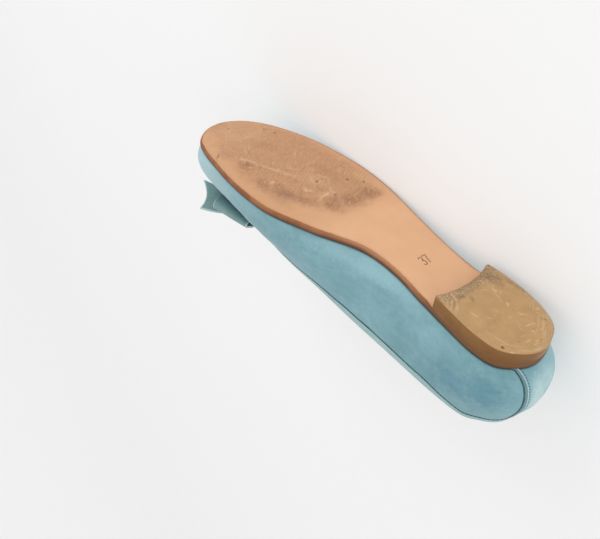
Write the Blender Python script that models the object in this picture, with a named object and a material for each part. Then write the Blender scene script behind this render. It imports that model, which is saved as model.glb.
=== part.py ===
"""Ballet flat, left shoe, lying on its lateral side.

The shoe is worked out in its own frame, in millimetres: x runs from the back of the heel to the toe,
+y is the lateral (outer) side, -y the medial (arch) side, and z = 0 is the walking plane.
A parent empty then lays the whole shoe on its lateral side, with the origin under its middle.
"""

import math
from typing import NamedTuple

import bmesh
import bpy
import numpy as np
from mathutils import Matrix, Vector

MM = 0.001

# Driving dimensions, in millimetres
SOLE_LENGTH = 245.4
SOLE_THICKNESS = 3.4
SOLE_EDGE_BEVEL = 0.5
HEEL_HEIGHT = 7.0  # from the walking plane to the sole's underside
ARCH_START = 54.0  # where the sole leaves the heel seat
ARCH_END = 145.0  # where the sole comes down to the walking plane
SPRING_START = 178.0
TOE_SPRING = 3.4
BACK_TRIM = 1.9  # how far the round back of the sole is drawn in, which makes it blunter
BACK_TRIM_RUN = 28.0  # and the station where that has died out
HEEL_BREAST = 52.5  # the station of the heel block's two front corners
BREAST_HOLLOW = 3.8  # depth of its concave front
HEEL_EDGE_BEVEL = 0.4
HEEL_TUCK = 0.8  # how far the block's medial wall leans in at the ground
HEEL_FLARE = 1.1  # how far its back leans out at the ground
HEEL_FLARE_RUN = 22.0  # the station where that has died out
HEEL_FLARE_REACH = 9.0  # and how far it reaches round the lateral side
WALL = 1.8  # thickness of the upper with its lining
FEATHER_INSET = 1.0  # from the sole's edge to the foot of the upper
STEEP_LEAN = 20.0  # up to this lean, in degrees, the wall drops square to the sole's outline
FLAT_LEAN = 45.0  # from this lean on, it drops towards its own foot
INSOLE_THICKNESS = 1.6
INSOLE_EDGE_BEVEL = 0.3
GAP = 0.3  # clearance between pieces that touch

BOW_STATION = 196.0
KNOT_LENGTH = 17.0  # along the shoe
KNOT_WIDTH = 11.0  # across the shoe
KNOT_THICKNESS = 8.0
KNOT_BEVEL = 1.6
KNOT_ROUNDNESS = 0.7  # power of its cross-section: 1 is an ellipse, less is squarer
RIBBON_THICKNESS = 1.2
RIBBON_PINCH = 13.0  # width of a loop where the knot gathers it
TAIL_PINCH = 9.0
LOOP_FOLD = 1.6  # radius of a loop's fold
LOOP_ROOT = 3.2  # height of the loops' middle above the vamp, at the knot
TAIL_ROOT = 7.6
TAIL_OFFSET = 4.0  # how far towards the toe a tail leaves the knot

# Attitude of the lying shoe, in degrees
LIE_ROLL = 88.6  # about the shoe's length, from standing on the sole to lying on the lateral side
LIE_YAW = 3.6  # the heel is narrower than the ball, so the shoe's axis is not level

# Mesh resolution
RING_HALF = 32  # steps from heel to toe along one side
WALL_ROWS = 10
BREAST_STEPS = 6
KNOT_STEPS = 20
RIBBON_COLUMNS = 4
LOOP_STEPS = 12
TAIL_STEPS = 6
SHARP_ANGLE = 40.0  # degrees between faces that share a hard edge


class Outline(NamedTuple):
    """The sole's edge at one station: its distance from the centre line on each side."""

    station: float
    lateral: float
    medial: float


SOLE_OUTLINE = (
    Outline(station=0, lateral=0.0, medial=0.0),
    Outline(station=4, lateral=13.0, medial=11.0),
    Outline(station=12, lateral=18.5, medial=17.5),
    Outline(station=25, lateral=22.5, medial=18.7),
    Outline(station=40, lateral=24.5, medial=16.5),
    Outline(station=60, lateral=25.0, medial=12.8),
    Outline(station=80, lateral=27.0, medial=9.8),
    Outline(station=100, lateral=29.7, medial=11.8),
    Outline(station=125, lateral=33.5, medial=24.4),
    Outline(station=150, lateral=35.8, medial=32.9),
    Outline(station=172, lateral=35.1, medial=34.0),
    Outline(station=190, lateral=33.1, medial=32.3),
    Outline(station=206, lateral=29.4, medial=29.2),
    Outline(station=220, lateral=25.1, medial=25.8),
    Outline(station=232, lateral=19.4, medial=21.2),
    Outline(station=240, lateral=12.7, medial=13.8),
    Outline(station=SOLE_LENGTH, lateral=0.0, medial=0.0),
)


class Rim(NamedTuple):
    """The collar's edge reached by the wall that springs from one station of the sole's outline."""

    station: float
    reaches: float  # the collar's station
    lateral: float
    medial: float
    high_lateral: float
    high_medial: float


COLLAR = (
    Rim(station=0, reaches=4.2, lateral=0.0, medial=0.0, high_lateral=50.0, high_medial=50.0),
    Rim(station=6, reaches=7.0, lateral=9.0, medial=8.7, high_lateral=50.0, high_medial=49.7),
    Rim(station=14, reaches=12.8, lateral=14.8, medial=13.4, high_lateral=50.2, high_medial=50.7),
    Rim(station=25, reaches=22.0, lateral=19.0, medial=17.0, high_lateral=49.8, high_medial=52.3),
    Rim(station=45, reaches=42.0, lateral=22.0, medial=19.2, high_lateral=48.0, high_medial=50.0),
    Rim(station=70, reaches=67.0, lateral=24.0, medial=20.4, high_lateral=45.6, high_medial=46.4),
    Rim(station=100, reaches=95.0, lateral=25.5, medial=21.0, high_lateral=43.0, high_medial=43.4),
    Rim(station=125, reaches=119.0, lateral=26.0, medial=21.3, high_lateral=40.6, high_medial=40.2),
    Rim(station=150, reaches=142.0, lateral=25.0, medial=21.2, high_lateral=38.8, high_medial=38.2),
    Rim(station=172, reaches=158.0, lateral=21.5, medial=19.2, high_lateral=38.6, high_medial=38.2),
    Rim(station=190, reaches=168.0, lateral=16.0, medial=15.2, high_lateral=39.8, high_medial=39.6),
    Rim(station=206, reaches=173.0, lateral=11.0, medial=10.8, high_lateral=41.0, high_medial=41.0),
    Rim(station=220, reaches=175.5, lateral=7.3, medial=7.3, high_lateral=41.8, high_medial=41.8),
    Rim(station=232, reaches=176.7, lateral=3.9, medial=3.9, high_lateral=42.2, high_medial=42.2),
    Rim(station=SOLE_LENGTH, reaches=177.0, lateral=0.0, medial=0.0, high_lateral=42.4, high_medial=42.4),
)


class Wall(NamedTuple):
    """How the last swells between the sole and the collar, above one station of the sole's outline."""

    station: float
    out_lateral: float  # how far the wall heads outwards as it leaves the sole
    out_medial: float
    up: float  # and how far it heads up
    reach: float  # length over which it straightens below the collar
    lean_lateral: float  # how far from upright it meets the collar, in degrees
    lean_medial: float


LAST = (
    Wall(station=0, out_lateral=12.0, out_medial=12.0, up=12.0, reach=18.0, lean_lateral=30, lean_medial=30),
    Wall(station=10, out_lateral=14.0, out_medial=9.0, up=12.5, reach=17.5, lean_lateral=32, lean_medial=28),
    Wall(station=25, out_lateral=12.8, out_medial=6.2, up=12.0, reach=17.0, lean_lateral=28, lean_medial=20),
    Wall(station=60, out_lateral=7.0, out_medial=9.5, up=12.0, reach=14.0, lean_lateral=14, lean_medial=8),
    Wall(station=100, out_lateral=5.0, out_medial=10.5, up=12.0, reach=13.0, lean_lateral=14, lean_medial=8),
    Wall(station=125, out_lateral=4.5, out_medial=6.5, up=13.0, reach=13.0, lean_lateral=22, lean_medial=20),
    Wall(station=150, out_lateral=4.0, out_medial=2.5, up=13.5, reach=13.0, lean_lateral=34, lean_medial=36),
    Wall(station=172, out_lateral=3.0, out_medial=1.5, up=13.5, reach=16.0, lean_lateral=48, lean_medial=48),
    Wall(station=190, out_lateral=3.5, out_medial=2.0, up=13.5, reach=21.0, lean_lateral=60, lean_medial=60),
    Wall(station=206, out_lateral=5.0, out_medial=4.0, up=14.0, reach=27.0, lean_lateral=68, lean_medial=68),
    Wall(station=220, out_lateral=8.0, out_medial=8.0, up=14.5, reach=33.0, lean_lateral=74, lean_medial=74),
    Wall(station=232, out_lateral=12.0, out_medial=12.0, up=14.0, reach=38.0, lean_lateral=77, lean_medial=77),
    Wall(station=SOLE_LENGTH, out_lateral=14, out_medial=14, up=14, reach=40, lean_lateral=78, lean_medial=78),
)


class Finish(NamedTuple):
    """Colour, roughness and metallic value of one material."""

    name: str
    colour: tuple
    roughness: float
    metallic: float = 0.0


SUEDE = Finish(name="turquoise_suede", colour=(0.28, 0.52, 0.56, 1.0), roughness=0.9)
SOLE_LEATHER = Finish(name="sole_leather", colour=(0.72, 0.46, 0.29, 1.0), roughness=0.55)
HEEL_STACK = Finish(name="heel_stack", colour=(0.36, 0.22, 0.12, 1.0), roughness=0.5)
SOCK_LEATHER = Finish(name="sock_leather", colour=(0.75, 0.66, 0.53, 1.0), roughness=0.6)


# Curves and interpolation


def angle_of(station):
    """The angle, 0 at the heel and pi at the toe, that spaces stations closely at both round ends."""
    return math.acos(1.0 - 2.0 * station / SOLE_LENGTH)


def station_of(angle):
    return SOLE_LENGTH * (1.0 - math.cos(angle)) / 2.0


def smooth(rows, column, angle):
    """One column of a table at an angle, on a smooth curve through its rows."""
    at = [angle_of(row.station) for row in rows]
    value = [float(getattr(row, column)) for row in rows]
    last = len(at) - 1
    i = min(max(int(np.searchsorted(at, angle)) - 1, 0), last - 1)

    def slope(j):
        if j in (0, last):
            a, b = (0, 1) if j == 0 else (last - 1, last)
        else:
            a, b = j - 1, j + 1
        return (value[b] - value[a]) / (at[b] - at[a])

    step = at[i + 1] - at[i]
    t = (angle - at[i]) / step
    rise, fall = 2 * t**3 - 3 * t**2 + 1, -2 * t**3 + 3 * t**2
    leave, enter = t**3 - 2 * t**2 + t, t**3 - t**2
    return rise * value[i] + fall * value[i + 1] + step * (leave * slope(i) + enter * slope(i + 1))


def bezier(start, leave, enter, end, t):
    """The point at t along a cubic curve."""
    s = 1.0 - t
    return s**3 * start + 3 * s * s * t * leave + 3 * s * t * t * enter + t**3 * end


def ease(t):
    """0 to 1 with level ends."""
    t = min(max(t, 0.0), 1.0)
    return t * t * (3.0 - 2.0 * t)


# The sole's shape


def edge_point(angle, side):
    """The sole's edge, side +1 lateral or -1 medial, as (x, y)."""
    column = "lateral" if side > 0 else "medial"
    station = station_of(angle)
    x = station + BACK_TRIM * (1.0 - ease(station / BACK_TRIM_RUN))
    return np.array([x, side * smooth(SOLE_OUTLINE, column, angle)])


def ring_angles():
    """(angle, side) of each step round the shoe: heel, lateral side, toe, medial side."""
    lateral = [(math.pi * k / RING_HALF, 1) for k in range(RING_HALF + 1)]
    medial = [(math.pi * k / RING_HALF, -1) for k in range(RING_HALF - 1, 0, -1)]
    return lateral + medial


def outline_ring(inset):
    """The sole's outline, moved inwards by inset, as an array of (x, y)."""
    points = np.array([edge_point(angle, side) for angle, side in ring_angles()])
    along = np.roll(points, -1, axis=0) - np.roll(points, 1, axis=0)
    along /= np.linalg.norm(along, axis=1, keepdims=True)
    inwards = np.column_stack([along[:, 1], -along[:, 0]])
    return points + inset * inwards


def underside(x):
    """Height of the sole's underside above the walking plane."""
    arch = HEEL_HEIGHT * (1.0 - ease((x - ARCH_START) / (ARCH_END - ARCH_START)))
    spring = max(x - SPRING_START, 0.0) / (SOLE_LENGTH - SPRING_START)
    return arch + TOE_SPRING * spring**2


def ring_at(inset, lift):
    """A closed ring that follows the sole: inset from its edge, lifted above its underside."""
    return np.array([(x, y, underside(x) + lift) for x, y in outline_ring(inset)])


# The upper's shape


def wall_curve(foot, outwards, angle, side):
    """The wall's curve from the sole to the collar, as a function of t from 0 to 1."""
    name = "lateral" if side > 0 else "medial"
    rim = np.array(
        [
            smooth(COLLAR, "reaches", angle),
            side * smooth(COLLAR, name, angle),
            smooth(COLLAR, "high_" + name, angle),
        ]
    )
    up = np.array([0.0, 0.0, 1.0])
    leave = foot + smooth(LAST, "out_" + name, angle) * outwards + smooth(LAST, "up", angle) * up
    lean = math.radians(smooth(LAST, "lean_" + name, angle))
    share = ease((math.degrees(lean) - STEEP_LEAN) / (FLAT_LEAN - STEEP_LEAN))
    away = (foot - rim) * (1.0, 1.0, 0.0)
    away = (1.0 - share) * outwards + share * away / np.linalg.norm(away)
    away /= np.linalg.norm(away)
    enter = rim + smooth(LAST, "reach", angle) * (math.sin(lean) * away - math.cos(lean) * up)
    return lambda t: bezier(foot, leave, enter, rim, t)


def upper_grid():
    """The upper's outer surface: rows from the sole to the collar, each a ring round the shoe."""
    feet = ring_at(FEATHER_INSET, SOLE_THICKNESS + GAP)
    flat = feet[:, :2]
    along = np.roll(flat, -1, axis=0) - np.roll(flat, 1, axis=0)
    along /= np.linalg.norm(along, axis=1, keepdims=True)
    curves = []
    for foot, direction, (angle, side) in zip(feet, along, ring_angles()):
        outwards = np.array([-direction[1], direction[0], 0.0])
        curves.append(wall_curve(foot, outwards, angle, side))
    return np.array([[curve(row / WALL_ROWS) for curve in curves] for row in range(WALL_ROWS + 1)])


def grid_normals(grid):
    """Outward unit normals of a grid of rings."""
    around = np.roll(grid, -1, axis=1) - np.roll(grid, 1, axis=1)
    up = np.gradient(grid, axis=0)
    normal = np.cross(up, around)
    return normal / np.linalg.norm(normal, axis=2, keepdims=True)


# Meshes


def material(finish):
    made = bpy.data.materials.get(finish.name) or bpy.data.materials.new(finish.name)
    made.use_nodes = True
    shader = made.node_tree.nodes["Principled BSDF"]
    shader.inputs["Base Color"].default_value = finish.colour
    shader.inputs["Roughness"].default_value = finish.roughness
    shader.inputs["Metallic"].default_value = finish.metallic
    return made


def new_object(name, bm, finish, parent):
    """Finishes a bmesh in millimetres as a named object of the shoe."""
    bmesh.ops.recalc_face_normals(bm, faces=bm.faces)
    bmesh.ops.scale(bm, vec=(MM, MM, MM), verts=bm.verts)
    mesh = bpy.data.meshes.new(name)
    bm.to_mesh(mesh)
    bm.free()
    mesh.shade_smooth()
    mesh.set_sharp_from_angle(angle=math.radians(SHARP_ANGLE))
    mesh.materials.append(material(finish))
    made = bpy.data.objects.new(name, mesh)
    bpy.context.scene.collection.objects.link(made)
    made.parent = parent
    return made


def add_ring(bm, points):
    return [bm.verts.new(point) for point in points]


def join_rings(bm, lower, upper):
    """Quads between two closed rings."""
    count = len(lower)
    for k in range(count):
        after = (k + 1) % count
        bm.faces.new((lower[k], lower[after], upper[after], upper[k]))


def cap_ring(bm, ring):
    """Fills a ring that runs heel, lateral side, toe, medial side with strips across the shoe."""
    count = len(ring)
    for k in range(count // 2):
        left, right = ring[k], ring[-k % count]
        far_left, far_right = ring[k + 1], ring[-(k + 1) % count]
        corners = [left, far_left, far_right, right]
        bm.faces.new(list(dict.fromkeys(corners)))


def make_plate(name, finish, parent, inset, lift, thickness, bevel):
    """A plate that follows the sole's outline, arch and spring."""
    rings = (
        (inset + bevel, lift),
        (inset, lift + bevel),
        (inset, lift + thickness - bevel),
        (inset + bevel, lift + thickness),
    )
    bm = bmesh.new()
    built = [add_ring(bm, ring_at(*ring)) for ring in rings]
    for lower, upper in zip(built, built[1:]):
        join_rings(bm, lower, upper)
    cap_ring(bm, built[0])
    cap_ring(bm, built[-1])
    return new_object(name, bm, finish, parent)


def heel_outline(inset, down):
    """The heel block's outline, from down = 0 at the sole to down = 1 at the ground.

    It has the sole's round back and a hollow front. Towards the ground it is tucked in
    on the medial side and flares out at the back.
    """
    corner = angle_of(HEEL_BREAST)
    steps = [corner * k / RING_HALF * 2 for k in range(RING_HALF // 2 + 1)]
    sides = {side: [edge_point(angle, side) for angle in steps] for side in (1, -1)}
    back = sides[-1][::-1] + sides[1][1:]
    lateral, medial = back[-1], back[0]
    breast = []
    for k in range(1, BREAST_STEPS):
        t = k / BREAST_STEPS
        x, y = lateral + (medial - lateral) * t
        breast.append(np.array([x - BREAST_HOLLOW * 4 * t * (1 - t), y]))
    points = np.array(back + breast)
    along = np.roll(points, -1, axis=0) - np.roll(points, 1, axis=0)
    along /= np.linalg.norm(along, axis=1, keepdims=True)
    fades = [(1.0 - ease(x / HEEL_FLARE_RUN)) * (1.0 - ease(y / HEEL_FLARE_REACH)) for x, y in points]
    moved = inset - HEEL_FLARE * down * np.array(fades)[:, None]
    points += moved * np.column_stack([along[:, 1], -along[:, 0]])
    points[:, 1] += HEEL_TUCK * down * np.clip(-points[:, 1] / abs(medial[1]), 0.0, 1.0)
    return points


def make_heel(parent):
    """A low block from the walking plane to just under the sole."""
    levels = (
        (HEEL_EDGE_BEVEL, 1.0, 0.0),
        (0.0, 1.0, HEEL_EDGE_BEVEL),
        (0.0, 0.0, HEEL_HEIGHT - GAP),
    )
    bm = bmesh.new()
    rings = [add_ring(bm, [(x, y, z) for x, y in heel_outline(inset, down)]) for inset, down, z in levels]
    for lower, upper in zip(rings, rings[1:]):
        join_rings(bm, lower, upper)
    bm.faces.new(rings[0])
    bm.faces.new(rings[-1])
    return new_object("heel", bm, HEEL_STACK, parent)


def make_upper(parent):
    """The hollow shell: outer surface, rounded collar edge and inner surface, open at top and bottom."""
    outer = upper_grid()
    inner = outer - WALL * grid_normals(outer)
    inner[0, :, 2] = outer[0, :, 2]
    top = (outer[-1] + inner[-1]) / 2 + (outer[-1] - outer[-2]) * (WALL / 2) / np.linalg.norm(
        outer[-1] - outer[-2], axis=1, keepdims=True
    )
    rows = list(outer) + [top] + list(inner[::-1])
    bm = bmesh.new()
    rings = [add_ring(bm, row) for row in rows]
    for lower, upper in zip(rings, rings[1:] + rings[:1]):
        join_rings(bm, lower, upper)
    return new_object("upper", bm, SUEDE, parent)


# The bow


class BowFrame(NamedTuple):
    """Where the bow sits on the vamp: x towards the toe, y lateral, z away from the foot."""

    origin: np.ndarray
    axes: np.ndarray

    def point(self, x, y, z):
        return self.origin + self.axes @ np.array([x, y, z])


def bow_frame():
    """The vamp's crown at the bow's station."""
    crown = upper_grid()[:, RING_HALF]
    order = np.argsort(crown[:, 0])
    rows = crown[order]
    height = np.interp(BOW_STATION, rows[:, 0], rows[:, 2])
    half = KNOT_LENGTH / 2
    ends = [np.interp(BOW_STATION + offset, rows[:, 0], rows[:, 2]) for offset in (-half, half)]
    along = np.array([KNOT_LENGTH, 0.0, ends[1] - ends[0]])
    along /= np.linalg.norm(along)
    away = np.array([-along[2], 0.0, along[0]])
    axes = np.column_stack([along, [0.0, 1.0, 0.0], away])
    return BowFrame(np.array([BOW_STATION, 0.0, height]), axes)


def slab(name, grid, finish, parent):
    """A ribbon with its thickness, from a grid of points along and across it."""
    along = np.gradient(grid, axis=0)
    across = np.gradient(grid, axis=1)
    normal = np.cross(along, across)
    normal /= np.linalg.norm(normal, axis=2, keepdims=True)
    bm = bmesh.new()
    faces = []
    for sign in (1, -1):
        points = grid + sign * RIBBON_THICKNESS / 2 * normal
        faces.append([[bm.verts.new(point) for point in row] for row in points])
    rows, columns = grid.shape[:2]
    for i in range(rows - 1):
        for j in range(columns - 1):
            for sheet in faces:
                bm.faces.new((sheet[i][j], sheet[i][j + 1], sheet[i + 1][j + 1], sheet[i + 1][j]))
    top, bottom = faces
    for j in range(columns - 1):
        for i in (0, rows - 1):
            bm.faces.new((top[i][j], top[i][j + 1], bottom[i][j + 1], bottom[i][j]))
    for i in range(rows - 1):
        for j in (0, columns - 1):
            bm.faces.new((top[i][j], top[i + 1][j], bottom[i + 1][j], bottom[i][j]))
    return new_object(name, bm, finish, parent)


def make_knot(frame, parent):
    """The band round the bow's middle: an oval turned on the shoe's cross axis."""
    bm = bmesh.new()
    middle = GAP + KNOT_THICKNESS / 2
    ends = []
    for side in (-1, 1):
        ring = []
        for k in range(KNOT_STEPS):
            turn = 2 * math.pi * k / KNOT_STEPS
            x = KNOT_LENGTH / 2 * math.copysign(abs(math.cos(turn)) ** KNOT_ROUNDNESS, math.cos(turn))
            z = KNOT_THICKNESS / 2 * math.copysign(abs(math.sin(turn)) ** KNOT_ROUNDNESS, math.sin(turn))
            ring.append(bm.verts.new(frame.point(x, side * KNOT_WIDTH / 2, middle + z)))
        ends.append(ring)
    join_rings(bm, *ends)
    caps = [bm.faces.new(ring) for ring in ends]
    edges = [edge for cap in caps for edge in cap.edges]
    bmesh.ops.bevel(
        bm, geom=edges, offset=KNOT_BEVEL, affect="EDGES", segments=2, profile=0.5, material=-1
    )
    return new_object("bow_knot", bm, SUEDE, parent)


class Loop(NamedTuple):
    """One folded loop, in the bow's frame."""

    side: int
    span: float  # from the shoe's centre line to the fold
    width: float  # of the ribbon at the fold
    shift: float  # how far the fold's middle lies towards the toe
    droop: float  # how far the fold hangs below the ribbon's start
    twist: float  # how much higher the fold's toe end is than its middle


class Tail(NamedTuple):
    """One cut end of the ribbon, in the bow's frame."""

    side: int
    forward: float  # from the knot's middle towards the toe, to the middle of the cut end
    span: float  # and out from the shoe's centre line
    width: float  # of the cut end
    turn: float  # degrees that the cut end is turned towards the heel
    droop: float
    notch: float  # depth of the hollow in the cut end


LOOPS = {
    "bow_loop_lateral": Loop(side=1, span=26.0, width=28.0, shift=2.5, droop=3.4, twist=3.6),
    "bow_loop_medial": Loop(side=-1, span=25.0, width=28.0, shift=2.5, droop=3.4, twist=4.2),
}
TAILS = {
    "bow_tail_lateral": Tail(side=1, forward=30.5, span=25.0, width=23.0, turn=38.0, droop=0.5, notch=3.0),
    "bow_tail_medial": Tail(side=-1, forward=31.6, span=24.6, width=24.0, turn=39.0, droop=0.3, notch=3.0),
}


def make_loop(name, loop, frame, parent):
    """A ribbon that leaves the knot, folds back and returns above itself."""
    start = KNOT_WIDTH / 2 + GAP
    run = loop.span - LOOP_FOLD - start
    half_steps = LOOP_STEPS // 2
    out = [(k / half_steps, run * k / half_steps, -LOOP_FOLD) for k in range(half_steps)]
    back = [(t, y, -z) for t, y, z in reversed(out)]
    turns = [math.pi * (k / half_steps - 0.5) for k in range(half_steps + 1)]
    fold = [(1.0, run + LOOP_FOLD * math.cos(turn), LOOP_FOLD * math.sin(turn)) for turn in turns]
    grid = []
    for t, y, z in out + fold + back:
        half = (RIBBON_PINCH + (loop.width - RIBBON_PINCH) * ease(t)) / 2
        row = []
        for column in range(RIBBON_COLUMNS + 1):
            across = 2 * column / RIBBON_COLUMNS - 1
            height = LOOP_ROOT + z - loop.droop * t + loop.twist * across * t
            row.append(frame.point(half * across + loop.shift * t, loop.side * (start + y), height))
        grid.append(row)
    return slab(name, np.array(grid), SUEDE, parent)


def make_tail(name, tail, frame, parent):
    """A single ribbon end with a hollow cut."""
    root = np.array([TAIL_OFFSET, KNOT_WIDTH / 2 + GAP])
    run = np.array([tail.forward, tail.span]) - root
    ahead = run / np.linalg.norm(run)
    grid = []
    for k in range(TAIL_STEPS + 1):
        t = k / TAIL_STEPS
        half = (TAIL_PINCH + (tail.width - TAIL_PINCH) * ease(t)) / 2
        turn = math.radians(tail.turn) * ease(2 * t)
        across_way = np.array([math.cos(turn), -math.sin(turn)])
        row = []
        for column in range(RIBBON_COLUMNS + 1):
            across = 2 * column / RIBBON_COLUMNS - 1
            x, y = root + t * (run - tail.notch * (1 - across**2) * ahead) + half * across * across_way
            row.append(frame.point(x, tail.side * y, TAIL_ROOT - tail.droop * t))
        grid.append(row)
    return slab(name, np.array(grid), SUEDE, parent)


# Assembly


def clear_scene():
    for old in list(bpy.data.objects):
        bpy.data.objects.remove(old, do_unlink=True)


def lay_down(root, pieces):
    """Lays the shoe on its lateral side, with the origin on the floor under its middle."""
    turn = Matrix.Rotation(math.radians(-LIE_ROLL), 4, "X") @ Matrix.Rotation(math.radians(-LIE_YAW), 4, "Z")
    corners = np.array([turn @ vertex.co for piece in pieces for vertex in piece.data.vertices])
    low, high = corners.min(axis=0), corners.max(axis=0)
    root.matrix_world = Matrix.Translation((-(low[0] + high[0]) / 2, -(low[1] + high[1]) / 2, -low[2])) @ turn


def main():
    clear_scene()
    root = bpy.data.objects.new("shoe_attitude", None)
    bpy.context.scene.collection.objects.link(root)
    frame = bow_frame()
    inset = FEATHER_INSET + WALL + GAP
    lift = SOLE_THICKNESS + GAP
    pieces = [
        make_plate("outsole", SOLE_LEATHER, root, 0.0, 0.0, SOLE_THICKNESS, SOLE_EDGE_BEVEL),
        make_plate("insole", SOCK_LEATHER, root, inset, lift, INSOLE_THICKNESS, INSOLE_EDGE_BEVEL),
        make_heel(root),
        make_upper(root),
        make_knot(frame, root),
    ]
    pieces += [make_loop(name, loop, frame, root) for name, loop in LOOPS.items()]
    pieces += [make_tail(name, tail, frame, root) for name, tail in TAILS.items()]
    lay_down(root, pieces)


main()
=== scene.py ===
"""Looks of a left ballet flat that lies on its lateral side: turquoise suede, leather sole, low heel and flat bow.

Sizes are in the shoe's own millimetres: x runs from the back of the heel to the toe, +y is the lateral side,
-y the medial side, and z = 0 is the walking plane. ShoeFrame lays them into the frame's metres.
"""

import logging
import math
from dataclasses import dataclass, field
from enum import Enum
from functools import reduce
from typing import NamedTuple, Optional, Sequence, Union

import bmesh
import bpy
import numpy as np
from mathutils import Matrix, Vector, kdtree, noise
from mathutils.bvhtree import BVHTree


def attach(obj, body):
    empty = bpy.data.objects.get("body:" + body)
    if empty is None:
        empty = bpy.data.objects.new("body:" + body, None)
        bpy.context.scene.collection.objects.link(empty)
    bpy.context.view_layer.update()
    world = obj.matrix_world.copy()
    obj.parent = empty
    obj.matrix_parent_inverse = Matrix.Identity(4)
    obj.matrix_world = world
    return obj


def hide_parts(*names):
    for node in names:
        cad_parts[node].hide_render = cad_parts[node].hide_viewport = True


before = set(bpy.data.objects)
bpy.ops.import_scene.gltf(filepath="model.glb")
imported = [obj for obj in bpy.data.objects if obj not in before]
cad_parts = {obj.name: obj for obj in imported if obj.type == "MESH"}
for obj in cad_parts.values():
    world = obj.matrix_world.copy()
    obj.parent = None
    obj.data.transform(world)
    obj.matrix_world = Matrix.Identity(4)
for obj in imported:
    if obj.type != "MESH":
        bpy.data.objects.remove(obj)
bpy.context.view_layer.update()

logging.basicConfig(level=logging.INFO, format="%(message)s")
LOG = logging.getLogger("ballet_flat")

MM = 0.001
BODY = "root"
Array = np.ndarray
Rows = tuple[tuple[float, ...], ...]
Colour = tuple[float, float, float]
Node = bpy.types.Node
Socket = bpy.types.NodeSocket
Tree = bpy.types.NodeTree
Value = Union[float, Socket]
Mesh = bmesh.types.BMesh
Material = bpy.types.Material
Piece = bpy.types.Object

# The shoe's driving sizes, as in its solids
SOLE_LENGTH = 245.4
SOLE_THICKNESS = 3.4
HEEL_HEIGHT = 7.0
ARCH_START = 54.0
ARCH_END = 145.0
SPRING_START = 178.0
TOE_SPRING = 3.4
BACK_TRIM = 1.9
BACK_TRIM_RUN = 28.0
HEEL_BREAST = 52.5
BREAST_HOLLOW = 3.8
HEEL_TUCK = 0.8
HEEL_FLARE = 1.1
HEEL_FLARE_RUN = 22.0
HEEL_FLARE_REACH = 9.0
WALL = 1.8
FEATHER_INSET = 1.0
STEEP_LEAN = 20.0
FLAT_LEAN = 45.0
INSOLE_THICKNESS = 1.6
GAP = 0.3
CLOSE = 0.04
LIE_ROLL = 88.6
LIE_YAW = 3.6


class Side(Enum):
    """A side of the shoe, by the sign of its y."""

    LATERAL = 1
    MEDIAL = -1


class Slot(Enum):
    """The record's material slots."""

    SUEDE = "suede"
    BOW = "bow_suede"
    SOLE = "sole_leather"
    HEEL = "heel_stack"
    SOCK = "sock_leather"


# By station: the sole's half width on the lateral and on the medial side
SOLE_OUTLINE: Rows = (
    (0, 0, 0), (4, 13, 11), (12, 18.5, 17.5), (25, 22.5, 18.7), (40, 24.5, 16.5), (60, 25, 12.8), (80, 27, 9.8),
    (100, 29.7, 11.8), (125, 33.5, 24.4), (150, 35.8, 32.9), (172, 35.1, 34), (190, 33.1, 32.3), (206, 29.4, 29.2),
    (220, 25.1, 25.8), (232, 19.4, 21.2), (240, 12.7, 13.8), (SOLE_LENGTH, 0, 0),
)  # fmt: skip
# By the station of the sole's outline: the station that the collar's edge reaches above it, the edge's
# lateral and medial half widths, and its lateral and medial heights
COLLAR: Rows = (
    (0, 4.2, 0, 0, 50, 50), (6, 7, 9, 8.7, 50, 49.7), (14, 12.8, 14.8, 13.4, 50.2, 50.7),
    (25, 22, 19, 17, 49.8, 52.3), (45, 42, 22, 19.2, 48, 50), (70, 67, 24, 20.4, 45.6, 46.4),
    (100, 95, 25.5, 21, 43, 43.4), (125, 119, 26, 21.3, 40.6, 40.2), (150, 142, 25, 21.2, 38.8, 38.2),
    (172, 158, 21.5, 19.2, 38.6, 38.2), (190, 168, 16, 15.2, 39.8, 39.6), (206, 173, 11, 10.8, 41, 41),
    (220, 175.5, 7.3, 7.3, 41.8, 41.8), (232, 176.7, 3.9, 3.9, 42.2, 42.2), (SOLE_LENGTH, 177, 0, 0, 42.4, 42.4),
)  # fmt: skip
# By station, the wall's swell between sole and collar: how far its curve leaves outwards on the lateral and the
# medial side, and upwards, the length of its upper arm, and that arm's lateral and medial lean in degrees
LAST_WALLS: Rows = (
    (0, 12, 12, 12, 18, 30, 30), (10, 14, 9, 12.5, 17.5, 32, 28), (25, 12.8, 6.2, 12, 17, 28, 20),
    (60, 7, 9.5, 12, 14, 14, 8), (100, 5, 10.5, 12, 13, 14, 8), (125, 4.5, 6.5, 13, 13, 22, 20),
    (150, 4, 2.5, 13.5, 13, 34, 36), (172, 3, 1.5, 13.5, 16, 48, 48), (190, 3.5, 2, 13.5, 21, 60, 60),
    (206, 5, 4, 14, 27, 68, 68), (220, 8, 8, 14.5, 33, 74, 74), (232, 12, 12, 14, 38, 77, 77),
    (SOLE_LENGTH, 14, 14, 14, 40, 78, 78),
)  # fmt: skip


# ---- curves ----


def ease(t: Union[float, Array]) -> Array:
    """0 to 1 with level ends, and held between them."""
    t = np.clip(t, 0.0, 1.0)
    return t * t * (3.0 - 2.0 * t)


def angle_of(station: Union[float, Array]) -> Array:
    """The angle, 0 at the heel and pi at the toe, that spaces stations closely at both round ends."""
    return np.arccos(1.0 - 2.0 * np.asarray(station, float) / SOLE_LENGTH)


def unit(vectors: Array) -> Array:
    """The vectors, each brought to length 1."""
    length = np.linalg.norm(vectors, axis=-1, keepdims=True)
    return vectors / np.maximum(length, 1e-9)



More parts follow.
